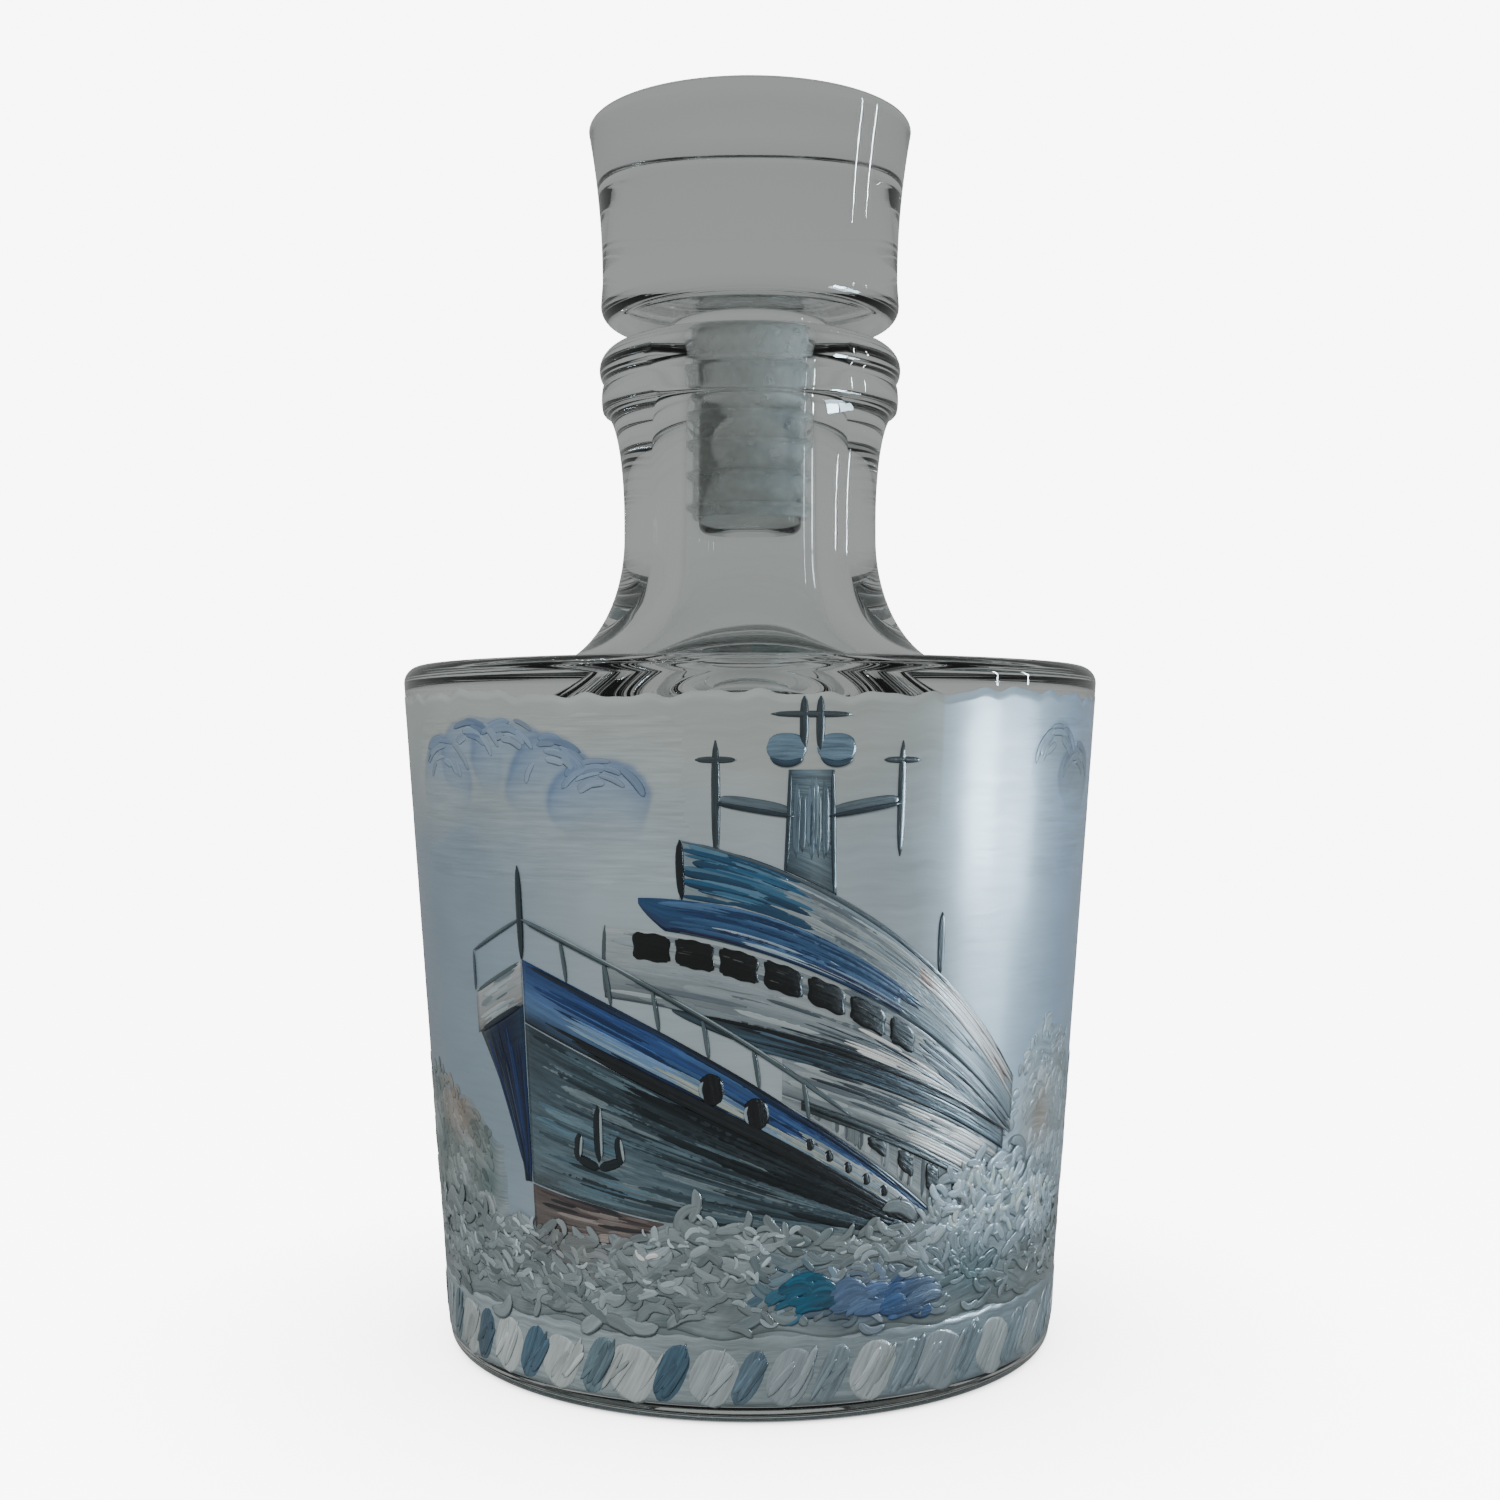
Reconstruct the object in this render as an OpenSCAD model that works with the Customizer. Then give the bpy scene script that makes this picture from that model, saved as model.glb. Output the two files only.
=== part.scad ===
// Glass decanter with a hand-painted yacht: a one-piece bottle, a solid glass stopper in a ribbed
// plastic sleeve, and the coats of paint that make up the picture on the wall.
// +Z is up and the yacht faces -Y. The origin is the centre of the foot ring on the table.

/* [Bottle] */
// Height of the shoulder above the table
shoulder_h = 121; // [100:1:150]
// Radius of the wall where it meets the table, before the heel is rounded
foot_r = 54.6; // [48:0.1:60]
// Radius of the wall at the shoulder, before the corner is rounded
shoulder_r = 63.4; // [57:0.1:72]
// Thickness of the side wall
wall_t = 6; // [4:0.5:9]
// Thickness of the glass under the inside floor
floor_t = 14; // [8:1:22]
// Thickness of the glass over the inside, at the shoulder
shoulder_t = 8; // [5:0.5:12]
// Rounding of the outer edge of the shoulder
corner_r = 3; // [1.5:0.5:5]
// Rounding of the heel
heel_r = 2.5; // [1:0.5:4]
// Rounding inside, where the wall meets the floor and the shoulder
inside_r = 9; // [4:0.5:14]
// Width of the flat ring that the bottle stands on
foot_ring_w = 8; // [5:0.5:12]
// Height of the hollow under the foot
punt_h = 2.5; // [1:0.5:5]

/* [Neck] */
// Height of the mouth above the shoulder
neck_h = 59.5; // [48:0.5:72]
// Outer radius of the neck at its narrowest
neck_r = 23.3; // [21.5:0.1:26]
// Radius of the bore that the sleeve seals in
bore_r = 12; // [10:0.1:13.8]
// Height above the shoulder where the bore starts to widen into the body
bore_end_h = 20; // [16:1:22]
// How far the bore widens before it meets the ceiling
bore_flare_w = 21; // [12:0.5:24]
// How far the foot of the neck spreads over the shoulder
flare_w = 16; // [10:1:20]
// Height of the spread at the foot of the neck
flare_h = 24; // [18:1:28]
// Radius of the upper ring of the lip
lip_r = 27.85; // [26.6:0.05:31]
// Height of the upper ring of the lip
lip_ring_h = 7.3; // [5:0.1:9]
// Height of the lower ring of the lip
lower_ring_h = 5.2; // [4:0.1:7]
// Height of the hollow curve under the lower ring
lip_root_h = 20; // [10:0.5:24]
// Depth of the groove between the two rings
lip_groove = 0.9; // [0.4:0.1:1.6]

/* [Stopper] */
// Gap between the mouth and the underside of the stopper's head
head_gap = 4; // [3:0.5:8]
// Height of the stopper's head
head_h = 36.5; // [26:0.5:46]
// Radius of the head at its waist
head_r = 27.3; // [23:0.1:32]
// How much wider the head is at its top
head_flare = 2.5; // [0:0.1:5]
// Rounding of the head's lower rim
head_low_r = 3.3; // [2:0.1:4.5]
// Rounding of the head's upper rim
head_top_r = 1.2; // [0.6:0.1:2.5]
// Depth of the plug below the mouth
plug_h = 35.5; // [24:0.5:42]

/* [Sleeve] */
// Wall of the sleeve's tube
sleeve_t = 1.1; // [0.8:0.1:1.6]
// How far the sleeve's flange stands out past the bore
flange_w = 2.8; // [1.8:0.1:5]
// Thickness of the flange
flange_t = 1.4; // [1:0.1:2]
// Number of sealing ribs on the sleeve
rib_count = 5; // [3:1:6]
// Thickness of a rib
rib_t = 1.2; // [0.8:0.1:1.8]
// How far a rib stands out from the tube
rib_h = 1.26; // [0.6:0.02:2]
// Running clearance of the plug in the sleeve
plug_clearance = 0.08; // [0.02:0.01:0.1]
// Clearance left round the ribs, once squeezed in the bore
rib_clearance = 0.06; // [0.02:0.01:0.1]

/* [Paint] */
// Thickness of one thin coat of paint
coat_t = 0.09; // [0.05:0.01:0.15]
// Thickness of the raised foam and spray
foam_t = 0.4; // [0.2:0.05:0.8]
// Gap left between one coat and what it lies on
coat_gap = 0.02; // [0.01:0.01:0.04]
// Number of dark stripes round the heel
stripe_count = 27; // [16:1:36]

/* [Picture] */
// Number of panes across the bridge
pane_count = 7; // [4:1:10]
// Gap between two panes
pane_gap = 0.9; // [0.5:0.1:1.5]
// Number of round ports along the deck edge
porthole_count = 8; // [3:1:10]
// Number of posts under the deck rail
post_count = 6; // [3:1:9]
// Width of the brush line that draws rails and posts
line_w = 0.7; // [0.4:0.1:1]

/* [Hidden] */
$fn = 96;

wall_slope = (shoulder_r - foot_r) / shoulder_h;

// Radius of the outside of the wall at a height
function wall_r(z) = foot_r + wall_slope * z;

heel_centre_r = wall_r(heel_r) - heel_r;
corner_z = shoulder_h - corner_r;
mouth_z = shoulder_h + neck_h;
neck_wide_z = shoulder_h + flare_h;
bore_end_z = shoulder_h + bore_end_h;
ceiling_z = shoulder_h - shoulder_t;
lip_ring_z = mouth_z - lip_ring_h;
lower_ring_z = lip_ring_z - lower_ring_h;
lower_ring_r = lip_r - 0.9;
ring_bulge = 0.5;
lip_crown_w = 5;
lip_crown_h = lip_ring_h * 0.63;
mouth_chamfer = 1.3;
floor_crown = 2;
head_z = mouth_z + head_gap;
head_top_z = head_z + head_h;
waist_z = head_z + 7.5;
waist_inset = 0.3;
flange_gap = 0.05;
flange_r = bore_r + flange_w;
flange_top_z = mouth_z + flange_gap + flange_t;
collar_z = flange_top_z + plug_clearance;
collar_inset = 0.6;
plug_z = mouth_z - plug_h;
plug_end_r = 2;
plug_show = 3;
rib_r = bore_r - rib_clearance;
tube_out_r = rib_r - rib_h;
tube_in_r = tube_out_r - sleeve_t;
plug_r = tube_in_r - plug_clearance;
tube_low_z = plug_z + plug_show;

// The picture is drawn in millimetres on the unrolled wall, x along it from the front and y up,
// for a wall of this height and mean radius. On any other wall it keeps its share of both.
drawn_h = 121;
drawn_r = 59;
picture_scale = shoulder_h / drawn_h;
heel_line = 3.2;
sea_line = 14;
horizon_line = 27;
sky_line = 115;
stripe_lean = 14;
layer_t = coat_t + coat_gap;

// The long lines of the yacht, each a gentle bow: its height at the middle of the picture, its slope
// and its bend. They close up towards the stern, as the yacht's side does when seen from ahead.
water = [30.5, -0.12, 0.0008];
hull_top = [46, -0.5, -0.002];
sheer = [54.5, -0.6, -0.0035];
rail = [60.3, -0.64, -0.004];
lower_deck = [54.5, -0.33, -0.0025];
upper_deck = [63.5, -0.25, -0.0035];
sill = [69.9, -0.3, -0.006];
brim = [75.3, -0.3, -0.0065];
roof = [81, -0.28, -0.009];
bridge_top = [89.3, -0.36, -0.008];
stem_u = -38.6;
stern_u = 49;
shade_h = 3.5;
patch_gap = 0.3;

// The far side of the bow shows past the stem, and its deck edge falls away from the stem head
far_w = 11;
far_slope = 0.5;
far_plate_h = 7;
far_end_u = stem_u - far_w - 1;
far_sheer = [height(sheer, stem_u) - far_slope * stem_u, far_slope, 0];
far_rail = [height(rail, stem_u) - far_slope * stem_u, far_slope, 0];

mast_u = 9;
mast_top = 103;
arm_z = 98.5;
arm_reach = 14;
dome_z = mast_top + 3;

// Height of one of those lines at a place along the picture
function height(line, u) = line[0] + line[1] * u + line[2] * u * u;

// The same line, moved up
function raised(line, by) = [line[0] + by, line[1], line[2]];

// Outline between two lines, from one place along the picture to another
function band(low, high, from, to, steps = 14) = concat(
  [for (i = [0:steps]) let (u = from + (to - from) * i / steps) [u, height(low, u)]],
  [for (i = [0:steps]) let (u = to + (from - to) * i / steps) [u, height(high, u)]]);

// Points along an arc of an ellipse about a centre, from one angle to another
function arc(centre, size, from, to, steps = 8) =
  [for (i = [0:steps]) let (a = from + (to - from) * i / steps)
    centre + [size[0] * cos(a), size[1] * sin(a)]];

// A point of the unrolled picture, as seen from straight in front of the wall
function seen(p) =
  let (z = p[1] * picture_scale)
  [wall_r(z) * sin(p[0] / drawn_r * 180 / PI), z];

// Outline of a slanting bar from one point to another, with a width at each end
function bar(a, b, w1, w2) =
  let (d = (b - a) / norm(b - a), n = [-d[1], d[0]])
  [a + n * w1 / 2, b + n * w2 / 2, b - n * w2 / 2, a - n * w1 / 2];

// Outline of an upright oval
function oval(centre, size, lean = 0, steps = 10) =
  [for (i = [0:steps - 1]) let (a = 360 * i / steps, x = size[0] / 2 * cos(a), y = size[1] / 2 * sin(a))
    centre + [x * cos(lean) - y * sin(lean), x * sin(lean) + y * cos(lean)]];

outside = concat(
  arc([0, 0], [heel_centre_r - foot_ring_w, punt_h], 90, 0),
  arc([heel_centre_r, heel_r], [heel_r, heel_r], -90, 0),
  arc([wall_r(corner_z) - corner_r, corner_z], [corner_r, corner_r], 0, 90),
  arc([neck_r + flare_w, neck_wide_z], [flare_w, flare_h], 270, 180, 14),
  arc([lower_ring_r, lower_ring_z - lip_root_h], [lower_ring_r - neck_r, lip_root_h], 180, 90, 10),
  arc([lower_ring_r, (lower_ring_z + lip_ring_z) / 2], [ring_bulge, lower_ring_h / 2], -60, 60, 4),
  [[lip_r - lip_groove, lip_ring_z]],
  arc([lip_r - lip_crown_w, mouth_z - lip_crown_h], [lip_crown_w, lip_crown_h], -20, 90)
);

inside = concat(
  [[bore_r + mouth_chamfer, mouth_z], [bore_r, mouth_z - mouth_chamfer]],
  arc([bore_r + bore_flare_w, bore_end_z], [bore_flare_w, bore_end_z - ceiling_z], 180, 270, 12),
  arc([wall_r(ceiling_z) - wall_t - inside_r, ceiling_z - inside_r], [inside_r, inside_r], 90, 0),
  arc([wall_r(floor_t + inside_r) - wall_t - inside_r, floor_t + inside_r], [inside_r, inside_r], 0, -90),
  [[0, floor_t + floor_crown]]
);

module bottle() {
  color([0.72, 0.76, 0.75, 0.5])
    rotate_extrude()
      polygon(concat(outside, inside));
}

// Solid head with a flared rim, a short collar over the flange and the plug in the bore
module stopper() {
  rim_z = head_top_z - head_top_r;
  side = [for (i = [0:8]) let (t = i / 8)
    [head_r + head_flare * t * t, waist_z + (rim_z - waist_z) * t]];
  color([0.72, 0.76, 0.75, 0.5])
    rotate_extrude()
      polygon(concat(
        [[0, plug_z]],
        arc([plug_r - plug_end_r, plug_z + plug_end_r], [plug_end_r, plug_end_r], -90, 0, 5),
        [[plug_r, collar_z], [flange_r - collar_inset, collar_z], [flange_r - collar_inset, head_z]],
        arc([head_r + waist_inset - head_low_r, head_z + head_low_r], [head_low_r, head_low_r], -90, 0, 7),
        side,
        arc([head_r + head_flare - head_top_r, rim_z], [head_top_r, head_top_r], 20, 90, 4),
        [[0, head_top_z]]
      ));
}

// Clear plastic tube with a flange on the mouth and ribs that seal in the bore
module stopper_sleeve() {
  rib_pitch = (mouth_z - mouth_chamfer - tube_low_z - rib_t) / rib_count;
  color([0.85, 0.87, 0.86, 0.6])
    difference() {
      union() {
        translate([0, 0, tube_low_z])
          cylinder(r = tube_out_r, h = flange_top_z - tube_low_z);
        translate([0, 0, mouth_z + flange_gap])
          cylinder(r = flange_r, h = flange_t);
        for (i = [0:rib_count - 1])
          translate([0, 0, tube_low_z + rib_t + i * rib_pitch])
            cylinder(r = rib_r, h = rib_t);
      }
      translate([0, 0, tube_low_z - 1])
        cylinder(r = tube_in_r, h = flange_top_z - tube_low_z + 2);
    }
}

// A skin that follows the outside of the wall between two heights of the picture. Layer 0 lies on
// the glass and each further layer lies on the one before.
module skin(layer, low, high, thick = coat_t) {
  z1 = low * picture_scale;
  z2 = high * picture_scale;
  inner = coat_gap + layer * layer_t;
  rotate_extrude()
    polygon([[wall_r(z1) + inner, z1], [wall_r(z1) + inner + thick, z1],
             [wall_r(z2) + inner + thick, z2], [wall_r(z2) + inner, z2]]);
}

// Patches of one coat of paint, from outlines on the unrolled picture
module painted(layer, outlines, thick = coat_t) {
  intersection() {
    skin(layer, heel_line, sky_line + 3, thick);
    rotate([90, 0, 0])
      linear_extrude(height = shoulder_r * 1.2)
        for (outline = outlines)
          polygon([for (p = outline) seen(p)]);
  }
}

module sky_wash() {
  color([0.62, 0.66, 0.71]) skin(0, horizon_line + coat_gap, sky_line);
}

module sea_wash() {
  color([0.53, 0.57, 0.59]) skin(0, sea_line + coat_gap, horizon_line);
}

module heel_band() {
  color([0.66, 0.67, 0.67]) skin(0, heel_line, sea_line);
}

// Dark strokes of the brush round the heel, all leaning the same way
module heel_stripes() {
  stripe_w = PI * foot_r / stripe_count;
  color([0.25, 0.38, 0.45])
    intersection() {
      skin(1, heel_line + 0.3, sea_line - 1.5);
      for (i = [0:stripe_count - 1])
        rotate([0, 0, i * 360 / stripe_count])
          rotate([-stripe_lean, 0, 0])
            translate([0, -stripe_w / 2, -sea_line])
              cube([shoulder_r, stripe_w, 3 * sea_line * picture_scale]);
    }
}

// Two banks of evenly spaced round heads of cloud, one each side of the mast
module clouds() {
  head_w = 14;
  left = [for (i = [0:4]) [-57 + 8.5 * i, 102 + 4 * sin(60 * i)]];
  right = [for (i = [0:1]) [57 + 8.5 * i, 104 - 3 * i]];
  color([0.56, 0.62, 0.72])
    painted(1, [for (head = concat(left, right)) oval(head, [head_w, head_w * 0.75], 0, 16)]);
}

// Grey-green water beyond the bow and the mist beyond the stern
module far_waves() {
  wave_w = 14;
  color([0.42, 0.48, 0.46])
    painted(1, [for (side = [-1, 1]) for (i = [0:1])
      oval([side * (61 + 5 * i), 43 - 8 * i], [wave_w, wave_w * 1.2], 0, 16)]);
}

// Far side of the bow, in shade, left of the stem. It flares out from the foot of the stem to the deck
module stem_side() {
  foot_w = 1.5;
  foot = height(water, stem_u);
  low_edge = raised(far_sheer, -far_plate_h - patch_gap);
  head = height(low_edge, stem_u - far_w);
  flare = [for (i = [0:8]) let (t = i / 8)
    [stem_u - patch_gap - foot_w - (far_w - foot_w) * pow(t, 1.6), foot + (head - foot) * t]];
  stem = [[stem_u - patch_gap, height(low_edge, stem_u)], [stem_u - patch_gap, foot]];
  color([0.07, 0.10, 0.24]) painted(1, [concat(flare, stem)]);
}

module hull_side() {
  color([0.30, 0.37, 0.43]) painted(1, [band(water, raised(hull_top, -patch_gap), stem_u, 26)]);
}

// Brown bottom paint that shows where the bow lifts out of the water
module boot_top() {
  foot = [27.5, 0, 0];
  color([0.30, 0.24, 0.24]) painted(1, [band(foot, raised(water, -patch_gap), stem_u, -14)]);
}

// Blue band that runs back from the bow to the deck edge
module bulwark() {
  color([0.18, 0.30, 0.58]) painted(1, [band(hull_top, sheer, stem_u, 33)]);
}

// Pale inside of the bulwark on the far side of the bow
module bow_plate() {
  color([0.66, 0.68, 0.68])
    painted(1, [band(raised(far_sheer, -far_plate_h), far_sheer, far_end_u, stem_u - patch_gap, 4)]);
}

// Pale side of the cabins between the deck edge and the lower deck
module cabin_side() {
  wave_top = 30;
  steps = 14;
  under = [for (i = [0:steps]) let (u = 5 + 40 * i / steps)
    [u, max(wave_top, height(sheer, u) + patch_gap)]];
  over = [for (i = [0:steps]) let (u = 45 - 40 * i / steps) [u, height(lower_deck, u) - patch_gap]];
  color([0.52, 0.55, 0.56]) painted(1, [concat(under, over)]);
}

// The two white decks that sweep back under the bridge windows
module deckhouse() {
  color([0.70, 0.72, 0.72])
    painted(1, [band(upper_deck, raised(brim, -patch_gap), -23, stern_u),
                band(lower_deck, raised(upper_deck, -shade_h), 5, 46)]);
}

// Bridge roof and the fly bridge over it, closed by the line that falls to the stern
module fly_bridge() {
  front_u = -10.6;
  color([0.66, 0.69, 0.70])
    painted(1, [band(brim, roof, -17, front_u, 4), band(brim, bridge_top, front_u, stern_u)]);
}

// Tapered mast with an arm on each side and a plain radar dome on each shoulder
module mast() {
  foot = [for (i = [0:4]) let (u = mast_u - 4 + 2 * i) [u, height(bridge_top, u) + patch_gap]];
  post = concat(foot, [[mast_u + 3.4, mast_top], [mast_u - 3.4, mast_top]]);
  arms = [for (side = [-1, 1])
    bar([mast_u + side * arm_reach, arm_z], [mast_u + side * 3, arm_z - 2], 2, 2.4)];
  domes = [for (side = [-1, 1]) oval([mast_u + side * 3.7, dome_z], [6, 4.8])];
  color([0.35, 0.45, 0.53]) painted(1, concat([post], arms, domes));
}

// Row of equal panes across the bridge, between the sill and the brim
module bridge_windows() {
  first_u = -18;
  pitch = 47 / pane_count;
  color([0.05, 0.05, 0.06])
    painted(2, [for (i = [0:pane_count - 1]) let (u = first_u + i * pitch)
      band(raised(sill, patch_gap), raised(brim, -1), u, min(u + pitch - pane_gap, 26.6), 2)]);
}

// Two mooring ports in the blue band
module hull_ports() {
  color([0.05, 0.06, 0.08])
    painted(2, [for (u = [-6, 1]) oval([u, (height(hull_top, u) + height(sheer, u)) / 2], [4, 4.8], 15)]);
}

// Small round ports along the deck edge
module portholes() {
  pitch = 22 / (porthole_count - 1);
  color([0.20, 0.22, 0.24])
    painted(2, [for (i = [0:porthole_count - 1]) let (u = 9.5 + i * pitch)
      oval([u, (height(hull_top, u) + height(sheer, u)) / 2], [1.5, 1.8])]);
}

// Door and windows in the side of the cabins, each narrower than the one before
module cabin_windows() {
  color([0.08, 0.09, 0.11])
    painted(2, [for (i = [0:3]) let (u = 19 + i * 5.4)
      band(raised(sheer, 2.4 + i * 0.3), raised(lower_deck, -1.6 - i * 0.1), u, u + 3.2 - i * 0.3, 2)]);
}

// Stockless anchor drawn up to its pipe on the hull
module anchor() {
  color([0.24, 0.30, 0.33])
    painted(2, [bar([-25, 50], [-25, 41], 1.6, 1.6), bar([-29, 40.6], [-21, 40.6], 1.8, 1.8),
                bar([-29, 40.6], [-28.4, 45.4], 1.6, 0.8), bar([-21, 40.6], [-21.6, 45.4], 1.6, 0.8)]);
}

// Shade under each of the two white decks
module deck_bands() {
  color([0.10, 0.15, 0.19])
    painted(2, [band(raised(upper_deck, -shade_h), upper_deck, -12, 47),
                band(raised(lower_deck, -1.4), lower_deck, 8, 45)]);
}

// Blue brim over the bridge windows
module roof_stripe() {
  color([0.12, 0.27, 0.46]) painted(2, [band(raised(brim, patch_gap), roof, -17, 28)]);
}

// Row of clear blue dabs in the water under the bow wave, smaller towards the stern
module blue_swirls() {
  color([0.10, 0.32, 0.55])
    painted(2, [for (i = [0:2]) oval([9 + 9.5 * i, 21 - 1.2 * i], [9 - i, 6 - 0.6 * i], 0, 14)]);
}

// Deck rail with its posts, the rail round the far side of the bow, and the bow flagstaff
module railings() {
  rail_end = 16;
  staff_h = 8.5;
  staff_low = height(sheer, stem_u);
  staff_top = height(rail, stem_u) + staff_h;
  far_post = [[far_end_u, height(far_sheer, far_end_u)], [far_end_u, height(far_rail, far_end_u)]];
  color([0.28, 0.34, 0.37])
    painted(3, concat(
      [band(raised(rail, -line_w / 2), raised(rail, line_w / 2), stem_u, rail_end)],
      [band(raised(far_rail, -line_w / 2), raised(far_rail, line_w / 2), far_end_u, stem_u, 4)],
      [bar(far_post[0], far_post[1], line_w, line_w)],
      [for (i = [1:post_count]) let (u = stem_u + (rail_end - stem_u) * i / (post_count + 1))
        bar([u, height(rail, u)], [u + 1, height(sheer, u + 1)], line_w, line_w)],
      [bar([stem_u, staff_low], [stem_u, staff_top], 2 * line_w, line_w)]
    ));
}

// Whip aerials on the mast top, at the ends of its arms and abaft the bridge
module aerials() {
  top = [for (side = [-1, 1]) [mast_u + side * 1.2, dome_z, 114.5]];
  ends = [for (side = [-1, 1]) [mast_u + side * arm_reach, arm_z - 9, arm_z + 9]];
  after = [[31, height(bridge_top, 31), height(bridge_top, 31) + 10]];
  spars = [[mast_u, 111.5, 6], [mast_u - arm_reach, arm_z + 6, 3], [mast_u + arm_reach, arm_z + 6, 3]];
  color([0.24, 0.28, 0.31])
    painted(3, concat(
      [for (w = concat(top, ends, after)) bar([w[0], w[1]], [w[0], w[2]], 1.4 * line_w, line_w)],
      [for (s = spars) bar([s[0] - s[2], s[1]], [s[0] + s[2], s[1]], 1.2 * line_w, 1.2 * line_w)]
    ));
}

// Raised strokes of foam along the waterline, higher where the bow wave and the wash break
module foam() {
  crest_pitch = 3.2;
  step = 0.8;
  wake = 33;
  crest = [for (u = [-62:step:62])
    [u, 30.5 + 2.2 * abs(sin(180 * u / crest_pitch)) + (u > wake ? 7 * sin(180 * (u - wake) / 29) : 0)]];
  trough = [for (u = [62:-4 * step:-62]) [u, 17 + 1.5 * sin(u * 20)]];
  color([0.78, 0.81, 0.82]) painted(4, [concat(crest, trough)], foam_t);
}

bottle();
stopper();
stopper_sleeve();
sky_wash();
sea_wash();
heel_band();
clouds();
far_waves();
heel_stripes();
stem_side();
hull_side();
boot_top();
bulwark();
bow_plate();
cabin_side();
deckhouse();
fly_bridge();
mast();
bridge_windows();
hull_ports();
portholes();
cabin_windows();
anchor();
deck_bands();
roof_stripe();
blue_swirls();
railings();
aerials();
foam();
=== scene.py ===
# A heavy glass decanter with a solid glass stopper, and a motor yacht in rough water painted by hand
# on the outside of its wall. Metres, +Z up, the picture faces -Y.
import math
import bpy
import numpy as np
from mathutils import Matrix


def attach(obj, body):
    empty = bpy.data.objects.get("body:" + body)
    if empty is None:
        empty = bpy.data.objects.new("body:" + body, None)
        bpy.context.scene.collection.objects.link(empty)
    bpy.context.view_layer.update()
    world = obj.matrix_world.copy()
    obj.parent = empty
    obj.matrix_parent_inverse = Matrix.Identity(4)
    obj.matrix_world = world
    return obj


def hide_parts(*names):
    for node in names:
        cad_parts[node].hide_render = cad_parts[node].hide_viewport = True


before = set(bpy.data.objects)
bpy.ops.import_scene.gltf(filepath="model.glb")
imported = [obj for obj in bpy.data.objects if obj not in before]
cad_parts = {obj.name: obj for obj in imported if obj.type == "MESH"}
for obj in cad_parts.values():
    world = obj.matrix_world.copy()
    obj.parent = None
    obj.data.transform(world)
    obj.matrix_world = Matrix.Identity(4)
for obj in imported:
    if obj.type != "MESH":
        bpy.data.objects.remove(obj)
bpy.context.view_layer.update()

# ---- Bottle -------------------------------------------------------------------------------------
# One piece of clear soda glass, blown into a mould. The outside is polished and true; the inside
# was never touched by the mould, so it wanders a little. The lip is two rings worked on the hot neck.
MM = 0.001
FOOT_R, WALL_SLOPE = 54.6, 8.8 / 121
SHOULDER_H, CORNER_R, HEEL_R = 121, 3, 2.5
MOUTH_H, NECK_R, BORE_R = 180.5, 23.3, 12
LIP_R, LIP_RING_H, LOWER_RING_H = 27.85, 7.3, 5.2
CEILING_H, FLOOR_H, WALL_T, INSIDE_R = 113, 14, 6, 9
TURN = 2 * math.pi


def wall_r(z):
    """Outside radius of the wall at a height: a cone that opens towards the shoulder."""
    return FOOT_R + WALL_SLOPE * z


def arc(centre, size, start, end, steps=12):
    """Points on an ellipse about a centre, from one angle to another in degrees."""
    a = np.radians(np.linspace(start, end, steps + 1))
    return np.column_stack([centre[0] + size[0] * np.cos(a), centre[1] + size[1] * np.sin(a)])


def mesh_object(name, points, faces, smooth=True):
    """A mesh object at the origin, from an (n, 3) array in millimetres and lists of faces."""
    mesh = bpy.data.meshes.new(name)
    mesh.from_pydata(points * MM, [], faces)
    mesh.shade_smooth() if smooth else mesh.shade_flat()
    mesh.update()
    obj = bpy.data.objects.new(name, mesh)
    bpy.context.scene.collection.objects.link(obj)
    return obj


def turned(name, outline, sides=256, wander=0.0):
    """A surface of revolution. Each outline point sweeps a ring, the first and last points lie on the
    axis as poles, and wander adds sines of angle and height to the radius."""
    ring = outline[1:-1]
    a = np.linspace(0, TURN, sides, endpoint=False)
    r = np.repeat(ring[:, 0:1], sides, 1)
    z = np.repeat(ring[:, 1:2], sides, 1)
    weight = np.asarray(wander).reshape(-1, 1) * np.ones_like(r)
    waves = np.sin(3 * a + z / 23) + 0.6 * np.sin(5 * a - z / 11 + 1.7) + 0.4 * np.sin(z / 6 + 2 * a)
    r = r + weight * waves
    body = np.stack([r * np.cos(a), r * np.sin(a), z], -1).reshape(-1, 3)
    poles = np.array([[0, 0, outline[0, 1]], [0, 0, outline[-1, 1]]])
    i, j = np.meshgrid(np.arange(len(ring) - 1), np.arange(sides), indexing="ij")
    k = (j + 1) % sides
    quads = np.stack([i * sides + j, i * sides + k, (i + 1) * sides + k, (i + 1) * sides + j],
                     -1).reshape(-1, 4)
    first, last, n = len(ring) * sides, len(ring) * sides + 1, (len(ring) - 1) * sides
    j = np.arange(sides)
    k = (j + 1) % sides
    fans = np.concatenate([np.column_stack([k, j, np.full(sides, first)]),
                           np.column_stack([n + j, n + k, np.full(sides, last)])])
    return mesh_object(name, np.concatenate([body, poles]), quads.tolist() + fans.tolist())


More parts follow.
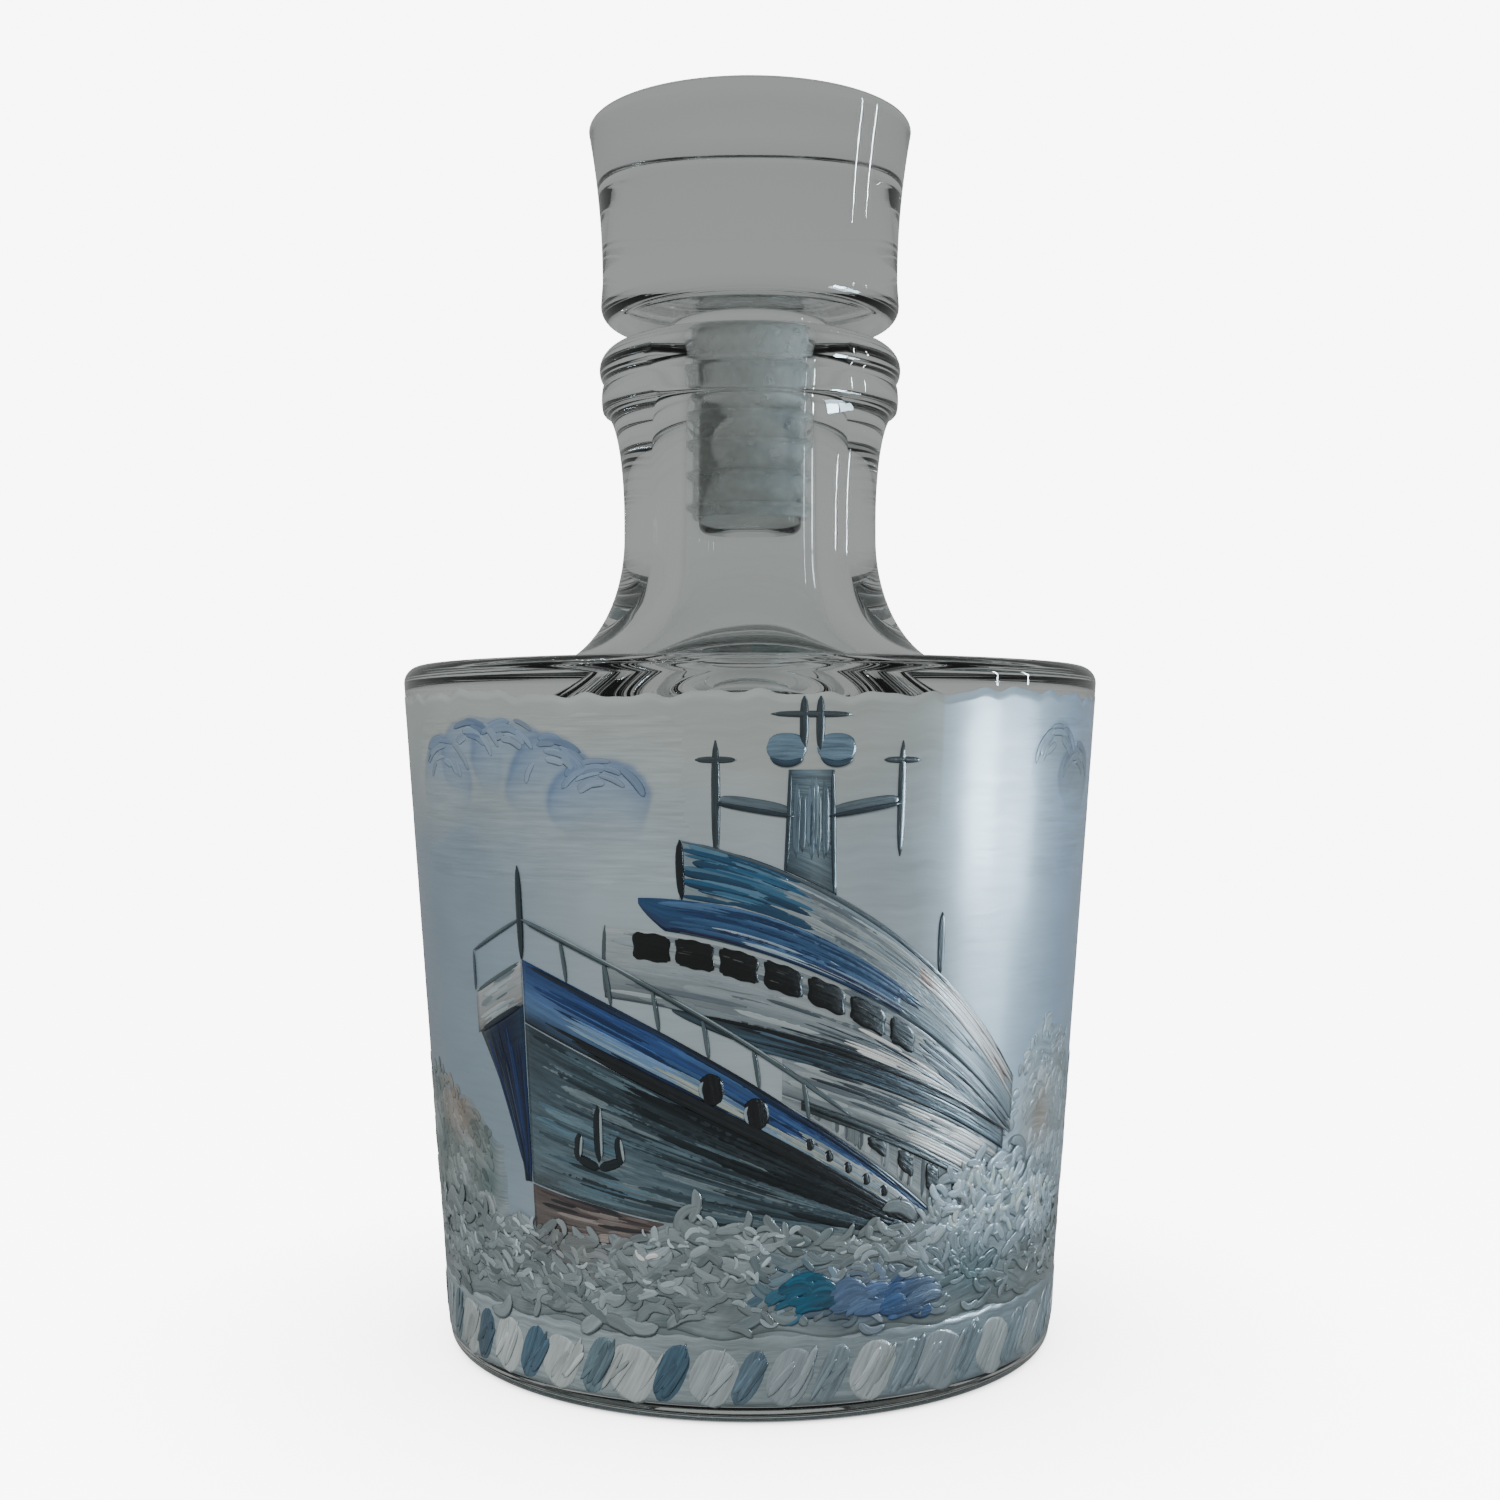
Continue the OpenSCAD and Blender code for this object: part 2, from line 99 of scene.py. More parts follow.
lip_ring_z = MOUTH_H - LIP_RING_H
lower_ring_z = lip_ring_z - LOWER_RING_H
lower_ring_r = LIP_R - 0.9
crown_h = LIP_RING_H * 0.63
corner_z = SHOULDER_H - CORNER_R
heel_centre = wall_r(HEEL_R) - HEEL_R
outside = np.concatenate([
    arc((0, 0), (heel_centre - 8, 2.5), 90, 0, 16),
    arc((heel_centre, HEEL_R), (HEEL_R, HEEL_R), -90, 0, 10),
    arc((wall_r(corner_z) - CORNER_R, corner_z), (CORNER_R, CORNER_R), 0, 90, 10),
    arc((NECK_R + 16, SHOULDER_H + 24), (16, 24), 270, 180, 26),
    arc((lower_ring_r, lower_ring_z - 20), (lower_ring_r - NECK_R, 20), 180, 90, 20),
    arc((lower_ring_r, (lower_ring_z + lip_ring_z) / 2), (0.5, LOWER_RING_H / 2), -60, 60, 8),
    [[LIP_R - 0.9, lip_ring_z]],
    arc((LIP_R - 5, MOUTH_H - crown_h), (5, crown_h), -20, 90, 14),
])
inside = np.concatenate([
    arc((BORE_R + 1.3, MOUTH_H - 1.3), (1.3, 1.3), 90, 180, 5),
    arc((BORE_R + 21, SHOULDER_H + 20), (21, SHOULDER_H + 20 - CEILING_H), 180, 270, 26),
    arc((wall_r(CEILING_H) - WALL_T - INSIDE_R, CEILING_H - INSIDE_R), (INSIDE_R, INSIDE_R), 90, 0, 14),
    arc((wall_r(FLOOR_H + INSIDE_R) - WALL_T - INSIDE_R, FLOOR_H + INSIDE_R), (INSIDE_R, INSIDE_R), 0, -90,
        14),
    [[20, FLOOR_H + 1.2], [8, FLOOR_H + 1.9], [0, FLOOR_H + 2]],
])
outline = np.concatenate([outside, inside])
in_cavity = (np.arange(len(outline)) >= len(outside) + 12) & (outline[:, 0] > 15)
bottle = turned("bottle_glass", outline, wander=np.where(in_cavity, 0.12, 0)[1:-1])


def material(name):
    """A new node material, with its Principled shader and its output."""
    made = bpy.data.materials.new(name)
    made.use_nodes = True
    return made, made.node_tree.nodes, made.node_tree.links, made.node_tree.nodes["Principled BSDF"]


def add(nodes, kind, **values):
    """A new node with some of its inputs set. An underscore in an input's name stands for a space."""
    made = nodes.new(kind)
    for name, value in values.items():
        made.inputs[name.replace("_", " ")].default_value = value
    return made


def spread_over(nodes, low, high, least, most):
    """A node that carries the range from low to high onto the range from least to most."""
    return add(nodes, "ShaderNodeMapRange", From_Min=low, From_Max=high, To_Min=least, To_Max=most)


def glass(name, colour, thumbed, smooth_rough, worn_rough, scale):
    """Clear glass: a faint tint that drifts through the melt, and a film of handling that dulls the
    polish in soft patches."""
    made, nodes, links, shader = material(name)
    place = nodes.new("ShaderNodeTexCoord")
    film = add(nodes, "ShaderNodeTexNoise", Scale=scale, Detail=6)
    links.new(place.outputs["Object"], film.inputs["Vector"])
    spread = spread_over(nodes, 0.45, 0.8, smooth_rough, worn_rough)
    links.new(film.outputs["Fac"], spread.inputs["Value"])
    links.new(spread.outputs["Result"], shader.inputs["Roughness"])
    tint = nodes.new("ShaderNodeMix")
    tint.data_type = "RGBA"
    tint.inputs["A"].default_value = (*colour, 1)
    tint.inputs["B"].default_value = (*thumbed, 1)
    links.new(film.outputs["Fac"], tint.inputs["Factor"])
    links.new(tint.outputs["Result"], shader.inputs["Base Color"])
    shader.inputs["Transmission Weight"].default_value = 1
    shader.inputs["IOR"].default_value = 1.51
    return made


clear_glass = glass("clear_glass", (0.97, 0.985, 0.98), (0.93, 0.955, 0.95), 0.0, 0.03, 45)
bottle.data.materials.append(clear_glass)
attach(bottle, "bottle")
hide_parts("bottle")

# ---- Stopper sleeve -----------------------------------------------------------------------------
# A clear soft plastic tube pushed over the plug. Its flange rests on the mouth and its ribs fold
# against the bore to seal it. The ribs are what shows as rings through the neck.
PLUG_H, FLANGE_T, FLANGE_W, RIB_T, RIB_H, RIBS = 35.5, 1.4, 2.8, 1.2, 1.26, 5
rib_r = BORE_R - 0.06
tube_r = rib_r - RIB_H
hole_r = tube_r - 1.1
tube_z = MOUTH_H - PLUG_H + 3
flange_z = MOUTH_H + 0.05
rib_pitch = (MOUTH_H - 1.3 - tube_z - RIB_T) / RIBS


def ring_of(name, outline, sides=160):
    """A closed ring: an outline that never meets the axis, carried once round it."""
    a = np.linspace(0, TURN, sides, endpoint=False)
    r = np.repeat(outline[:, 0:1], sides, 1)
    z = np.repeat(outline[:, 1:2], sides, 1)
    points = np.stack([r * np.cos(a), r * np.sin(a), z], -1).reshape(-1, 3)
    n = len(outline)
    i, j = np.meshgrid(np.arange(n), np.arange(sides), indexing="ij")
    i2, k = (i + 1) % n, (j + 1) % sides
    quads = np.stack([i * sides + j, i * sides + k, i2 * sides + k, i2 * sides + j], -1).reshape(-1, 4)
    return mesh_object(name, points, quads.tolist())


rib_edge = [np.array([[tube_r, z + 0.02], [rib_r - 0.25, z + 0.25], [rib_r, z + 0.5],
                      [rib_r, z + RIB_T - 0.3], [rib_r - 0.25, z + RIB_T - 0.05], [tube_r, z + RIB_T]])
            for z in tube_z + RIB_T + rib_pitch * np.arange(RIBS)]
sleeve = ring_of("stopper_sleeve_plastic", np.concatenate([
    [[hole_r, tube_z], [tube_r - 0.2, tube_z], [tube_r, tube_z + 0.2]], *rib_edge,
    [[tube_r, flange_z], [BORE_R + FLANGE_W - 0.3, flange_z], [BORE_R + FLANGE_W, flange_z + 0.35],
     [BORE_R + FLANGE_W, flange_z + FLANGE_T - 0.35], [BORE_R + FLANGE_W - 0.3, flange_z + FLANGE_T],
     [hole_r, flange_z + FLANGE_T]],
]))
soft_plastic, nodes, links, shader = material("clear_plastic")
place = nodes.new("ShaderNodeTexCoord")
haze = add(nodes, "ShaderNodeTexNoise", Scale=240, Detail=4)
links.new(place.outputs["Object"], haze.inputs["Vector"])
for socket, low, high in (("Alpha", 0.30, 0.46), ("Roughness", 0.15, 0.35)):
    spread = spread_over(nodes, 0.35, 0.7, low, high)
    links.new(haze.outputs["Fac"], spread.inputs["Value"])
    links.new(spread.outputs["Result"], shader.inputs[socket])
shader.inputs["Base Color"].default_value = (0.78, 0.78, 0.75, 1)
shader.inputs["IOR"].default_value = 1.48
sleeve.data.materials.append(soft_plastic)
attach(sleeve, "sleeve")
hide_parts("stopper_sleeve")

# ---- Stopper ------------------------------------------------------------------------------------
# A solid pressed block of the same glass, waisted low down and flared to a wide flat top, with a
# short collar over the sleeve's flange and a plug that hangs in the neck.
HEAD_GAP, HEAD_H, HEAD_R, HEAD_FLARE, WAIST_H, LOW_R, TOP_R = 4, 36.5, 27.3, 2.5, 7.5, 3.3, 1.2
plug_r = hole_r - 0.08
collar_r = BORE_R + FLANGE_W - 0.6
collar_z = flange_z + FLANGE_T + 0.08
head_z = MOUTH_H + HEAD_GAP
head_top = head_z + HEAD_H
t = np.linspace(0, 1, 22)
flared = np.column_stack([HEAD_R + HEAD_FLARE * t ** 2, head_z + WAIST_H + (HEAD_H - TOP_R - WAIST_H) * t])
stopper = turned("stopper_glass", np.concatenate([
    [[0, MOUTH_H - PLUG_H]], [[plug_r * 0.5, MOUTH_H - PLUG_H]],
    arc((plug_r - 2, MOUTH_H - PLUG_H + 2), (2, 2), -90, 0, 8),
    [[plug_r, collar_z]], [[collar_r - 0.3, collar_z], [collar_r, collar_z + 0.3]],
    arc((collar_r + 0.8, head_z - 0.8), (0.8, 0.8), 180, 90, 4),
    arc((HEAD_R + 0.3 - LOW_R, head_z + LOW_R), (LOW_R, LOW_R), -90, 0, 12),
    flared,
    arc((HEAD_R + HEAD_FLARE - TOP_R, head_top - TOP_R), (TOP_R, TOP_R), 12, 90, 6),
    [[12, head_top], [0, head_top]],
]))
stopper.data.materials.append(clear_glass)
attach(stopper, "stopper")
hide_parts("stopper")

# ---- Washes ------------------------------------------------------------------------------------
# Three thin coats brushed right round the wall before the picture: a hazy sky, a green-grey sea and
# a pale band at the heel. Each is a skin of oil paint a tenth of a millimetre thick, still streaked.
MEAN_R = 59.0
HEEL_LINE, SEA_LINE, HORIZON, SKY_LINE = 3.2, 14.0, 27.0, 115.0
ROUND = TURN * MEAN_R
ROOM_LIGHT = 0.62
CURVE_SCALE, CURVE_POWER = 0.214, 1.2


def shade(*screen):
    """A pigment's reflectance from its colour on a screen, 0 to 255 a channel: the inverse of the
    picture's tone curve, over the light that reaches the front of the wall."""
    share = np.array(screen) / 255
    return CURVE_SCALE * (share / (1 - share)) ** CURVE_POWER / ROOM_LIGHT


def on_wall(u, z, lift):
    """A place in the picture. u is the distance round the unrolled wall, so the angle is u over its
    mean radius, and lift is how far the point stands off the glass."""
    r = wall_r(z) + lift
    return np.stack([r * np.sin(u / MEAN_R), -r * np.cos(u / MEAN_R), z + 0 * r], -1)


def pairs(u, z):
    """Rows of a u and a z each. A single number serves every row."""
    return np.column_stack(np.broadcast_arrays(u, z))


def slab(u, z, base, top, colour, wrap=False, behind=1.0):
    """A closed coat over a grid of places: an upper sheet, a lower sheet turned over, and a wall
    round the edge. With wrap the grid's last row joins its first. behind lightens the colour of
    the lower sheet, the side that lies on the glass and is seen through it: painted light there."""
    m, n = u.shape
    cell = np.arange(m * n).reshape(m, n)
    here = cell[:, :-1] if wrap else cell[:-1, :-1]
    there = np.roll(cell, -1, 0)[:, :-1] if wrap else cell[1:, :-1]
    up = np.stack([here, there, there + 1, here + 1], -1).reshape(-1, 4)
    low = m * n
    start, end = here[:, 0], there[:, 0]
    walls = [np.column_stack([end, start, start + low, end + low]),
             np.column_stack([start, end, end + low, start + low]) + n - 1]
    if not wrap:
        j = np.arange(n - 1)
        walls += [np.column_stack([j, j + 1, j + 1 + low, j + low]),
                  np.column_stack([j + 1, j, j + low, j + 1 + low]) + (m - 1) * n]
    points = np.concatenate([on_wall(u, z, top).reshape(-1, 3), on_wall(u, z, base + 0 * u).reshape(-1, 3)])
    across = np.linspace(0, 1, n) * np.abs(z[:, -1] - z[:, 0]).mean()
    run = np.stack([u - u[:1], np.broadcast_to(across, u.shape)], -1).reshape(-1, 2)
    tint = np.broadcast_to(colour, (m, n, 3)).reshape(-1, 3)
    # The lower sheet's colour is multiplied by behind: painted light on the side that lies on the glass.
    return points, [up, up[:, ::-1] + low,
                    *walls], np.tile(run, (2, 1)), np.concatenate([tint, tint * behind])


def strokes(start, bend, end, width, base, thick, colour, steps=8, hairs=6, seed=1):
    """Strokes of a loaded brush, all at once. Each follows the parabola from start past bend to end.
    Across it the paint is a dome combed into ridges by the hairs, and it thins out at both ends."""
    rng = np.random.default_rng(seed)
    start, bend, end = (np.asarray(p, float).reshape(-1, 1, 2) for p in (start, bend, end))
    count = len(start)
    width, base, thick = (np.broadcast_to(v, count).reshape(-1, 1, 1) for v in (width, base, thick))
    t = np.linspace(0, 1, steps + 1).reshape(1, -1, 1)
    path = (1 - t) ** 2 * start + 2 * t * (1 - t) * bend + t ** 2 * end
    heading = (1 - t) * (bend - start) + t * (end - bend) + 1e-6
    heading = heading / np.linalg.norm(heading, axis=-1, keepdims=True)
    left = np.stack([-heading[..., 1], heading[..., 0]], -1)
    v = np.linspace(-1, 1, hairs).reshape(1, 1, -1)
    taper = np.maximum(1 - np.abs(2 * t - 1) ** 3, 0.02) ** 0.5
    offset = v * taper * width / 2
    u = path[..., 0:1] + left[..., 0:1] * offset
    z = path[..., 1:2] + left[..., 1:2] * offset
    comb = rng.uniform(0.55, 1.0, (count, 1, hairs)) * rng.uniform(0.85, 1.0, (count, steps + 1, hairs))
    lift = base + thick * np.sqrt(1 - v ** 2) * comb * (0.35 + 0.65 * taper)
    size = (steps + 1) * hairs
    cell = np.arange(count * size).reshape(count, steps + 1, hairs)
    here, there = cell[:, :-1, :-1], cell[:, 1:, :-1]
    up = np.stack([here, there, there + 1, here + 1], -1).reshape(-1, 4)
    first, last = cell[:, :, 0], cell[:, :, -1]
    under = np.stack([first[:, :-1], last[:, :-1], last[:, 1:], first[:, 1:]], -1).reshape(-1, 4)
    ends = [cell[:, 0], cell[:, -1, ::-1]]
    length = np.linalg.norm(end - start, axis=-1, keepdims=True)
    run = np.stack([t * length + 0 * v, offset + rng.uniform(0, 90, (count, 1, 1))], -1)
    tint = np.broadcast_to(np.asarray(colour).reshape(-1, 1, 1, 3), (count, steps + 1, hairs, 3))
    return on_wall(u, z, lift).reshape(-1, 3), [up, under, *ends], run.reshape(-1, 2), tint.reshape(-1, 3)


def mixed(rng, count, *pigments, spread=0.12):
    """A colour for each of many strokes: a pigment picked by chance, a little lighter or darker."""
    palette = np.array([shade(*p) for p in pigments])
    picked = palette[rng.integers(0, len(palette), count)]
    return np.clip(picked * rng.uniform(1 - spread, 1 + spread, (count, 1)), 0, 0.92)


bristle = bpy.data.node_groups.new("bristle_marks", "ShaderNodeTree")
for name, kind in (("Paint", "NodeSocketColor"), ("Streak", "NodeSocketFloat"),
                   ("Fineness", "NodeSocketFloat")):
    bristle.interface.new_socket(name, in_out="INPUT", socket_type=kind)
for name, kind in (("Colour", "NodeSocketColor"), ("Ridge", "NodeSocketFloat"),
                   ("Dullness", "NodeSocketFloat")):
    bristle.interface.new_socket(name, in_out="OUTPUT", socket_type=kind)
taken = bristle.nodes.new("NodeGroupInput")
given = bristle.nodes.new("NodeGroupOutput")
run = bristle.nodes.new("ShaderNodeUVMap")
run.uv_map = "stroke"
drawn_out = add(bristle.nodes, "ShaderNodeMapping", Scale=(0.07, 1.0, 1.0))
finer = bristle.nodes.new("ShaderNodeVectorMath")
finer.operation = "SCALE"
hair = add(bristle.nodes, "ShaderNodeTexNoise", Scale=1.0, Detail=5, Roughness=0.65)
hair.noise_dimensions = "2D"
HAIR_LOW, HAIR_HIGH = 0.3, 0.7
swing = spread_over(bristle.nodes, HAIR_LOW, HAIR_HIGH, -1, 1)
amount = bristle.nodes.new("ShaderNodeMath")
amount.operation = "MULTIPLY_ADD"
amount.inputs[2].default_value = 1
streaked = bristle.nodes.new("ShaderNodeVectorMath")
streaked.operation = "SCALE"
dull = spread_over(bristle.nodes, HAIR_LOW, HAIR_HIGH, 0.28, 0.5)
for a, b in ((run.outputs["UV"], drawn_out.inputs["Vector"]), (drawn_out.outputs["Vector"], finer.inputs[0]),
             (taken.outputs["Fineness"], finer.inputs["Scale"]), (finer.outputs[0], hair.inputs["Vector"]),
             (hair.outputs["Fac"], swing.inputs["Value"]), (swing.outputs["Result"], amount.inputs[0]),
             (taken.outputs["Streak"], amount.inputs[1]), (taken.outputs["Paint"], streaked.inputs[0]),
             (amount.outputs[0], streaked.inputs["Scale"]), (streaked.outputs[0], given.inputs["Colour"]),
             (hair.outputs["Fac"], given.inputs["Ridge"]), (hair.outputs["Fac"], dull.inputs["Value"]),
             (dull.outputs["Result"], given.inputs["Dullness"])):
    bristle.links.new(a, b)


RIDGE = 0.4 * MM


def oil_paint(name, streak, fineness, relief, gloss, blur=0.12):
    """Oil paint under a coat of varnish: its own colour on each stroke, streaked and ridged along
    the stroke by the hairs of the brush."""
    made, nodes, links, shader = material(name)
    own = nodes.new("ShaderNodeAttribute")
    own.attribute_name = "paint"
    marks = nodes.new("ShaderNodeGroup")
    marks.node_tree = bristle
    marks.inputs["Streak"].default_value = streak
    marks.inputs["Fineness"].default_value = fineness
    bump = add(nodes, "ShaderNodeBump", Strength=relief, Distance=RIDGE)
    links.new(own.outputs["Color"], marks.inputs["Paint"])
    links.new(marks.outputs["Colour"], shader.inputs["Base Color"])
    links.new(marks.outputs["Dullness"], shader.inputs["Roughness"])
    links.new(marks.outputs["Ridge"], bump.inputs["Height"])
    links.new(bump.outputs["Normal"], shader.inputs["Normal"])
    shader.inputs["Specular IOR Level"].default_value = 0.3
    shader.inputs["Coat Weight"].default_value = gloss
    shader.inputs["Coat Roughness"].default_value = blur
    return made


def coat(name, node, slot, paint, *parts):
    """One coat of paint as a mesh, from slabs and strokes, with the run of each stroke as its UV map
    and its colour as an attribute. It stands for the plain coat of the frame and rides on the glass."""
    points = np.concatenate([p[0] for p in parts])
    faces, smooth, first = [], [], 0
    for part in parts:
        for k, block in enumerate(part[1]):
            faces += (block + first).tolist()
            smooth += [k == 0] * len(block)
        first += len(part[0])
    obj = mesh_object(name, points, faces)
    mesh = obj.data
    mesh.polygons.foreach_set("use_smooth", smooth)
    corners = np.empty(len(mesh.loops), np.int32)
    mesh.loops.foreach_get("vertex_index", corners)
    run = np.concatenate([p[2] for p in parts])[corners]
    mesh.uv_layers.new(name="stroke").data.foreach_set("uv", run.ravel())
    tint = np.concatenate([p[3] for p in parts])
    rgba = np.column_stack([np.clip(tint, 0.002, 0.95), np.ones(len(tint))])
    mesh.color_attributes.new("paint", "FLOAT_COLOR", "POINT").data.foreach_set("color", rgba.ravel())
    mesh.materials.append(paint)
    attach(obj, "bottle")
    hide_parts(node)
    return obj


def blend(share, stops, pigments):
    """Colours along a row of pigments, by where each share falls among the stops."""
    row = np.array([shade(*p) for p in pigments])
    return np.stack([np.interp(share, stops, row[:, c]) for c in range(3)], -1)


def towards(tint, share, *pigment):
    """A colour field moved part of the way to one pigment, by a share at each place."""
    share = np.clip(share, 0, 1)[..., None]
    return tint * (1 - share) + shade(*pigment) * share


def spot(u, z, at_u, at_z, wide, tall):
    """A soft round patch: 1 at its middle, falling away as a bell curve."""
    return np.exp(-((u - at_u) / wide) ** 2 - ((z - at_z) / tall) ** 2)


def drift(u, z, size):
    """Slow brushed unevenness from -1 to 1: sines of the place, each bent by another."""
    x = u / size + 0.9 * np.sin(z / (1.3 * size) + 1.1)
    y = z / size + 0.8 * np.sin(u / (1.9 * size))
    return 0.45 * np.sin(x + 1.6 * np.sin(0.7 * y)) + 0.35 * np.sin(1.7 * y + 1.4 * np.sin(0.6 * x)) \
        + 0.2 * np.sin(2.9 * x - 2.3 * y)


def sky_tint(u, z):
    """The sky's colour: blue-grey to the left, plain grey behind the mast and pale blue to the right,
    with a paler haze high on the left and greener down by the water."""
    tint = blend(u + 5 * drift(u, z, 14), (-186, -70, -45, -22, 0, 26, 40, 62, 186),
                 ((120, 134, 145), (112, 127, 140), (118, 132, 142), (136, 146, 151), (142, 150, 154),
                  (138, 148, 154), (150, 166, 176), (140, 158, 174), (120, 134, 145)))
    tint = towards(tint, (z - 91 + 5 * drift(u, z, 9)) / 16 * (u < 30), 143, 148, 147)
    tint = towards(tint, 0.7 * (34 - z + 6 * drift(u, z, 6)) / 12, 112, 122, 124)
    return tint * (1 + 0.05 * drift(u, z, 5))[..., None]


def sea_tint(u, z):
    """The sea wash: green-grey with lighter passes of the brush."""
    tint = blend(0.5 + 0.5 * drift(u, z, 5), (0, 0.5, 1), ((84, 98, 102), (102, 113, 117), (122, 133, 138)))
    return towards(tint, 0.6 * (z - 24) / 6, 112, 122, 124)


def band_tint(u, z):
    """The pale band at the heel, greyer to the right."""
    return blend(u + 6 * drift(u, z, 6), (-186, -40, 0, 40, 186),
                 ((112, 123, 128), (130, 140, 144), (114, 124, 128), (112, 126, 134), (112, 123, 128)))


# The last number lightens each wash's colour on the side that lies on the glass: painted light for a side
# that the lamps hardly reach through the glass.
RING_STEPS, RIPPLE, UNDERSIDE_PAINTED_LIGHT = 640, 0.006, 2.6


def brushed_ring(low, high, rows, top, ragged, seed, colours):
    """A wash round the whole wall with a ragged upper edge, coloured by a field."""
    rng = np.random.default_rng(seed)
    round_wall = np.linspace(-ROUND / 2, ROUND / 2, RING_STEPS, endpoint=False)
    u, f = np.meshgrid(round_wall, np.linspace(0, 1, rows), indexing="ij")
    a = u / MEAN_R
    edge = sum(rng.uniform(0.3, 1) * np.sin(k * a + rng.uniform(0, TURN)) for k in (3, 8, 17, 43, 71))
    z = low + (high - low + ragged * edge / 3) * f
    ripple = RIPPLE * np.sin(31 * a + z / 2) + RIPPLE * np.sin(z * 3.1 + 9 * np.sin(3 * a))
    return slab(u, z, 0.01, top + ripple, colours(u, z), wrap=True, behind=UNDERSIDE_PAINTED_LIGHT)


def flat_edge(z):
    """An edge for a patch that keeps one height all along."""
    return lambda u: z + 0 * u


def patch(start, end, low, high, steps, rows, base, thick, colours, under):
    """A coat feathered out at its edges: its thickness and its colour both run out there into what
    lies under it. low and high give its edges as functions of u."""
    a, f = np.meshgrid(np.linspace(0, 1, steps), np.linspace(0, 1, rows), indexing="ij")
    u = start + (end - start) * a
    z = low(u) * (1 - f) + high(u) * f
    body = (1 - np.abs(2 * a - 1) ** 8) * (1 - np.abs(2 * f - 1) ** 6)
    tint = under(u, z) * (1 - body[..., None]) + colours(u, z) * body[..., None]
    top = base + 0.012 + thick * body * (0.9 + 0.1 * drift(u, z, 2))
    return slab(u, z, base, top, tint)


def tinted(rng, field, u, z, low=0.85, high=1.18):
    """The colour of a field at each stroke's place, a little lighter or darker."""
    return np.clip(field(u, z) * rng.uniform(low, high, len(u))[:, None], 0, 0.92)


thin_wash = oil_paint("pale_wash_paint", 0.04, 0.9, 0.07, 0.45, 0.2)
coat("sky_wash_paint", "sky_wash", "pale_wash_paint", thin_wash,
     brushed_ring(HORIZON, SKY_LINE, 60, 0.09, 1.6, 5, sky_tint))
rng = np.random.default_rng(3)
n = 420
u, z = rng.uniform(-ROUND / 2, ROUND / 2, n), rng.uniform(15.5, 26, n)
reach = rng.uniform(3, 8, n)
coat("sea_wash_paint", "sea_wash", "pale_wash_paint", thin_wash,
     brushed_ring(SEA_LINE - 0.5, HORIZON + 1.5, 12, 0.11, 0.6, 6, sea_tint),
     strokes(pairs(u, z), pairs(u + reach / 2, z + rng.uniform(0.5, 2.0, n)),
             pairs(u + reach, z + rng.uniform(-1.5, 1.5, n)), rng.uniform(1.0, 2.2, n), 0.1,
             rng.uniform(0.05, 0.10, n), tinted(rng, sea_tint, u, z), seed=3))

# ---- Heel --------------------------------------------------------------------------------------
# A border round the foot, put on one press of a round brush at a time: cream dabs on the pale band,
# then a steel-blue dab in each gap, all leaning the same way. The paint piles up at their tops.
DABS = 27
LEAN, DAB_FOOT, DAB_BEND = 4.4, 3.6, 8.0
pitch = ROUND / DABS


def heel_dabs(shift, width, top, seed, faded, *pigments):
    """A ring of upright dabs a pitch apart, each with thinner streaks of the brush over it. They fade
    into the band to the right by the share given."""
    rng = np.random.default_rng(seed)
    foot = shift + pitch * np.arange(-(DABS // 2), DABS - DABS // 2) + rng.uniform(-0.6, 0.6, DABS)
    wide = width * rng.uniform(0.8, 1.15, DABS)
    high = top + rng.uniform(-1.0, 0.6, DABS)
    gone = (faded * np.clip((foot + 8) / 30, 0, 1) * (foot < 90))[:, None]
    own = mixed(rng, DABS, *pigments) * (1 - gone) + band_tint(foot, DAB_BEND + 0 * foot) * gone
    dabs = strokes(pairs(foot - LEAN / 2, DAB_FOOT),
                   pairs(foot + 0.5, DAB_BEND), pairs(foot + LEAN / 2, high),
                   wide, 0.08, 0.26, own, steps=14, hairs=12, seed=seed)
    side = rng.uniform(-0.38, 0.38, (4, DABS)) * wide
    streaks = [strokes(pairs(foot - LEAN / 2 + s, rng.uniform(3.8, 6, DABS)),
                       pairs(foot + 0.4 + s, DAB_BEND),
                       pairs(foot + LEAN / 2 + s, high - rng.uniform(-0.6, 3, DABS)),
                       rng.uniform(0.6, 1.8, DABS), 0.24, 0.14,
                       np.clip(own * rng.uniform(0.72, 1.3, (DABS, 1)), 0, 0.9), steps=10, seed=seed + k)
               for k, s in enumerate(side)]
    return [dabs, *streaks]


pressed = oil_paint("heel_paint", 0.22, 1.6, 0.35, 0.5)
coat("heel_band_paint", "heel_band", "pale_wash_paint", pressed,
     brushed_ring(HEEL_LINE, SEA_LINE + 0.4, 10, 0.13, 0.5, 7, band_tint),
     *heel_dabs(pitch / 2, 9.4, 12.4, 21, 0.3, (140, 147, 150), (152, 157, 158), (124, 133, 138)))
steel_blue = oil_paint("steel_blue_paint", 0.35, 1.8, 0.4, 0.5)
coat("heel_stripes_paint", "heel_stripes", "steel_blue_paint", steel_blue,
     *heel_dabs(0, 5.2, 12.7, 31, 0.8, (70, 94, 108), (58, 84, 102), (86, 106, 116)))

# ---- Clouds and distant water -------------------------------------------------------------------
# Heads of cloud worked wet into the sky, paler inside a bluer rim, with a few curved marks of the
# brush. Beyond the bow and the stern, short dabs of green-grey, white and a little warm light.
cloud_heads = [(-57 + 8.5 * i, 101 + 4 * math.sin(math.radians(60 * i)), 8.5) for i in range(5)] \
    + [(57 + 8.5 * i, 104 - 3 * i, 7.5) for i in range(2)]


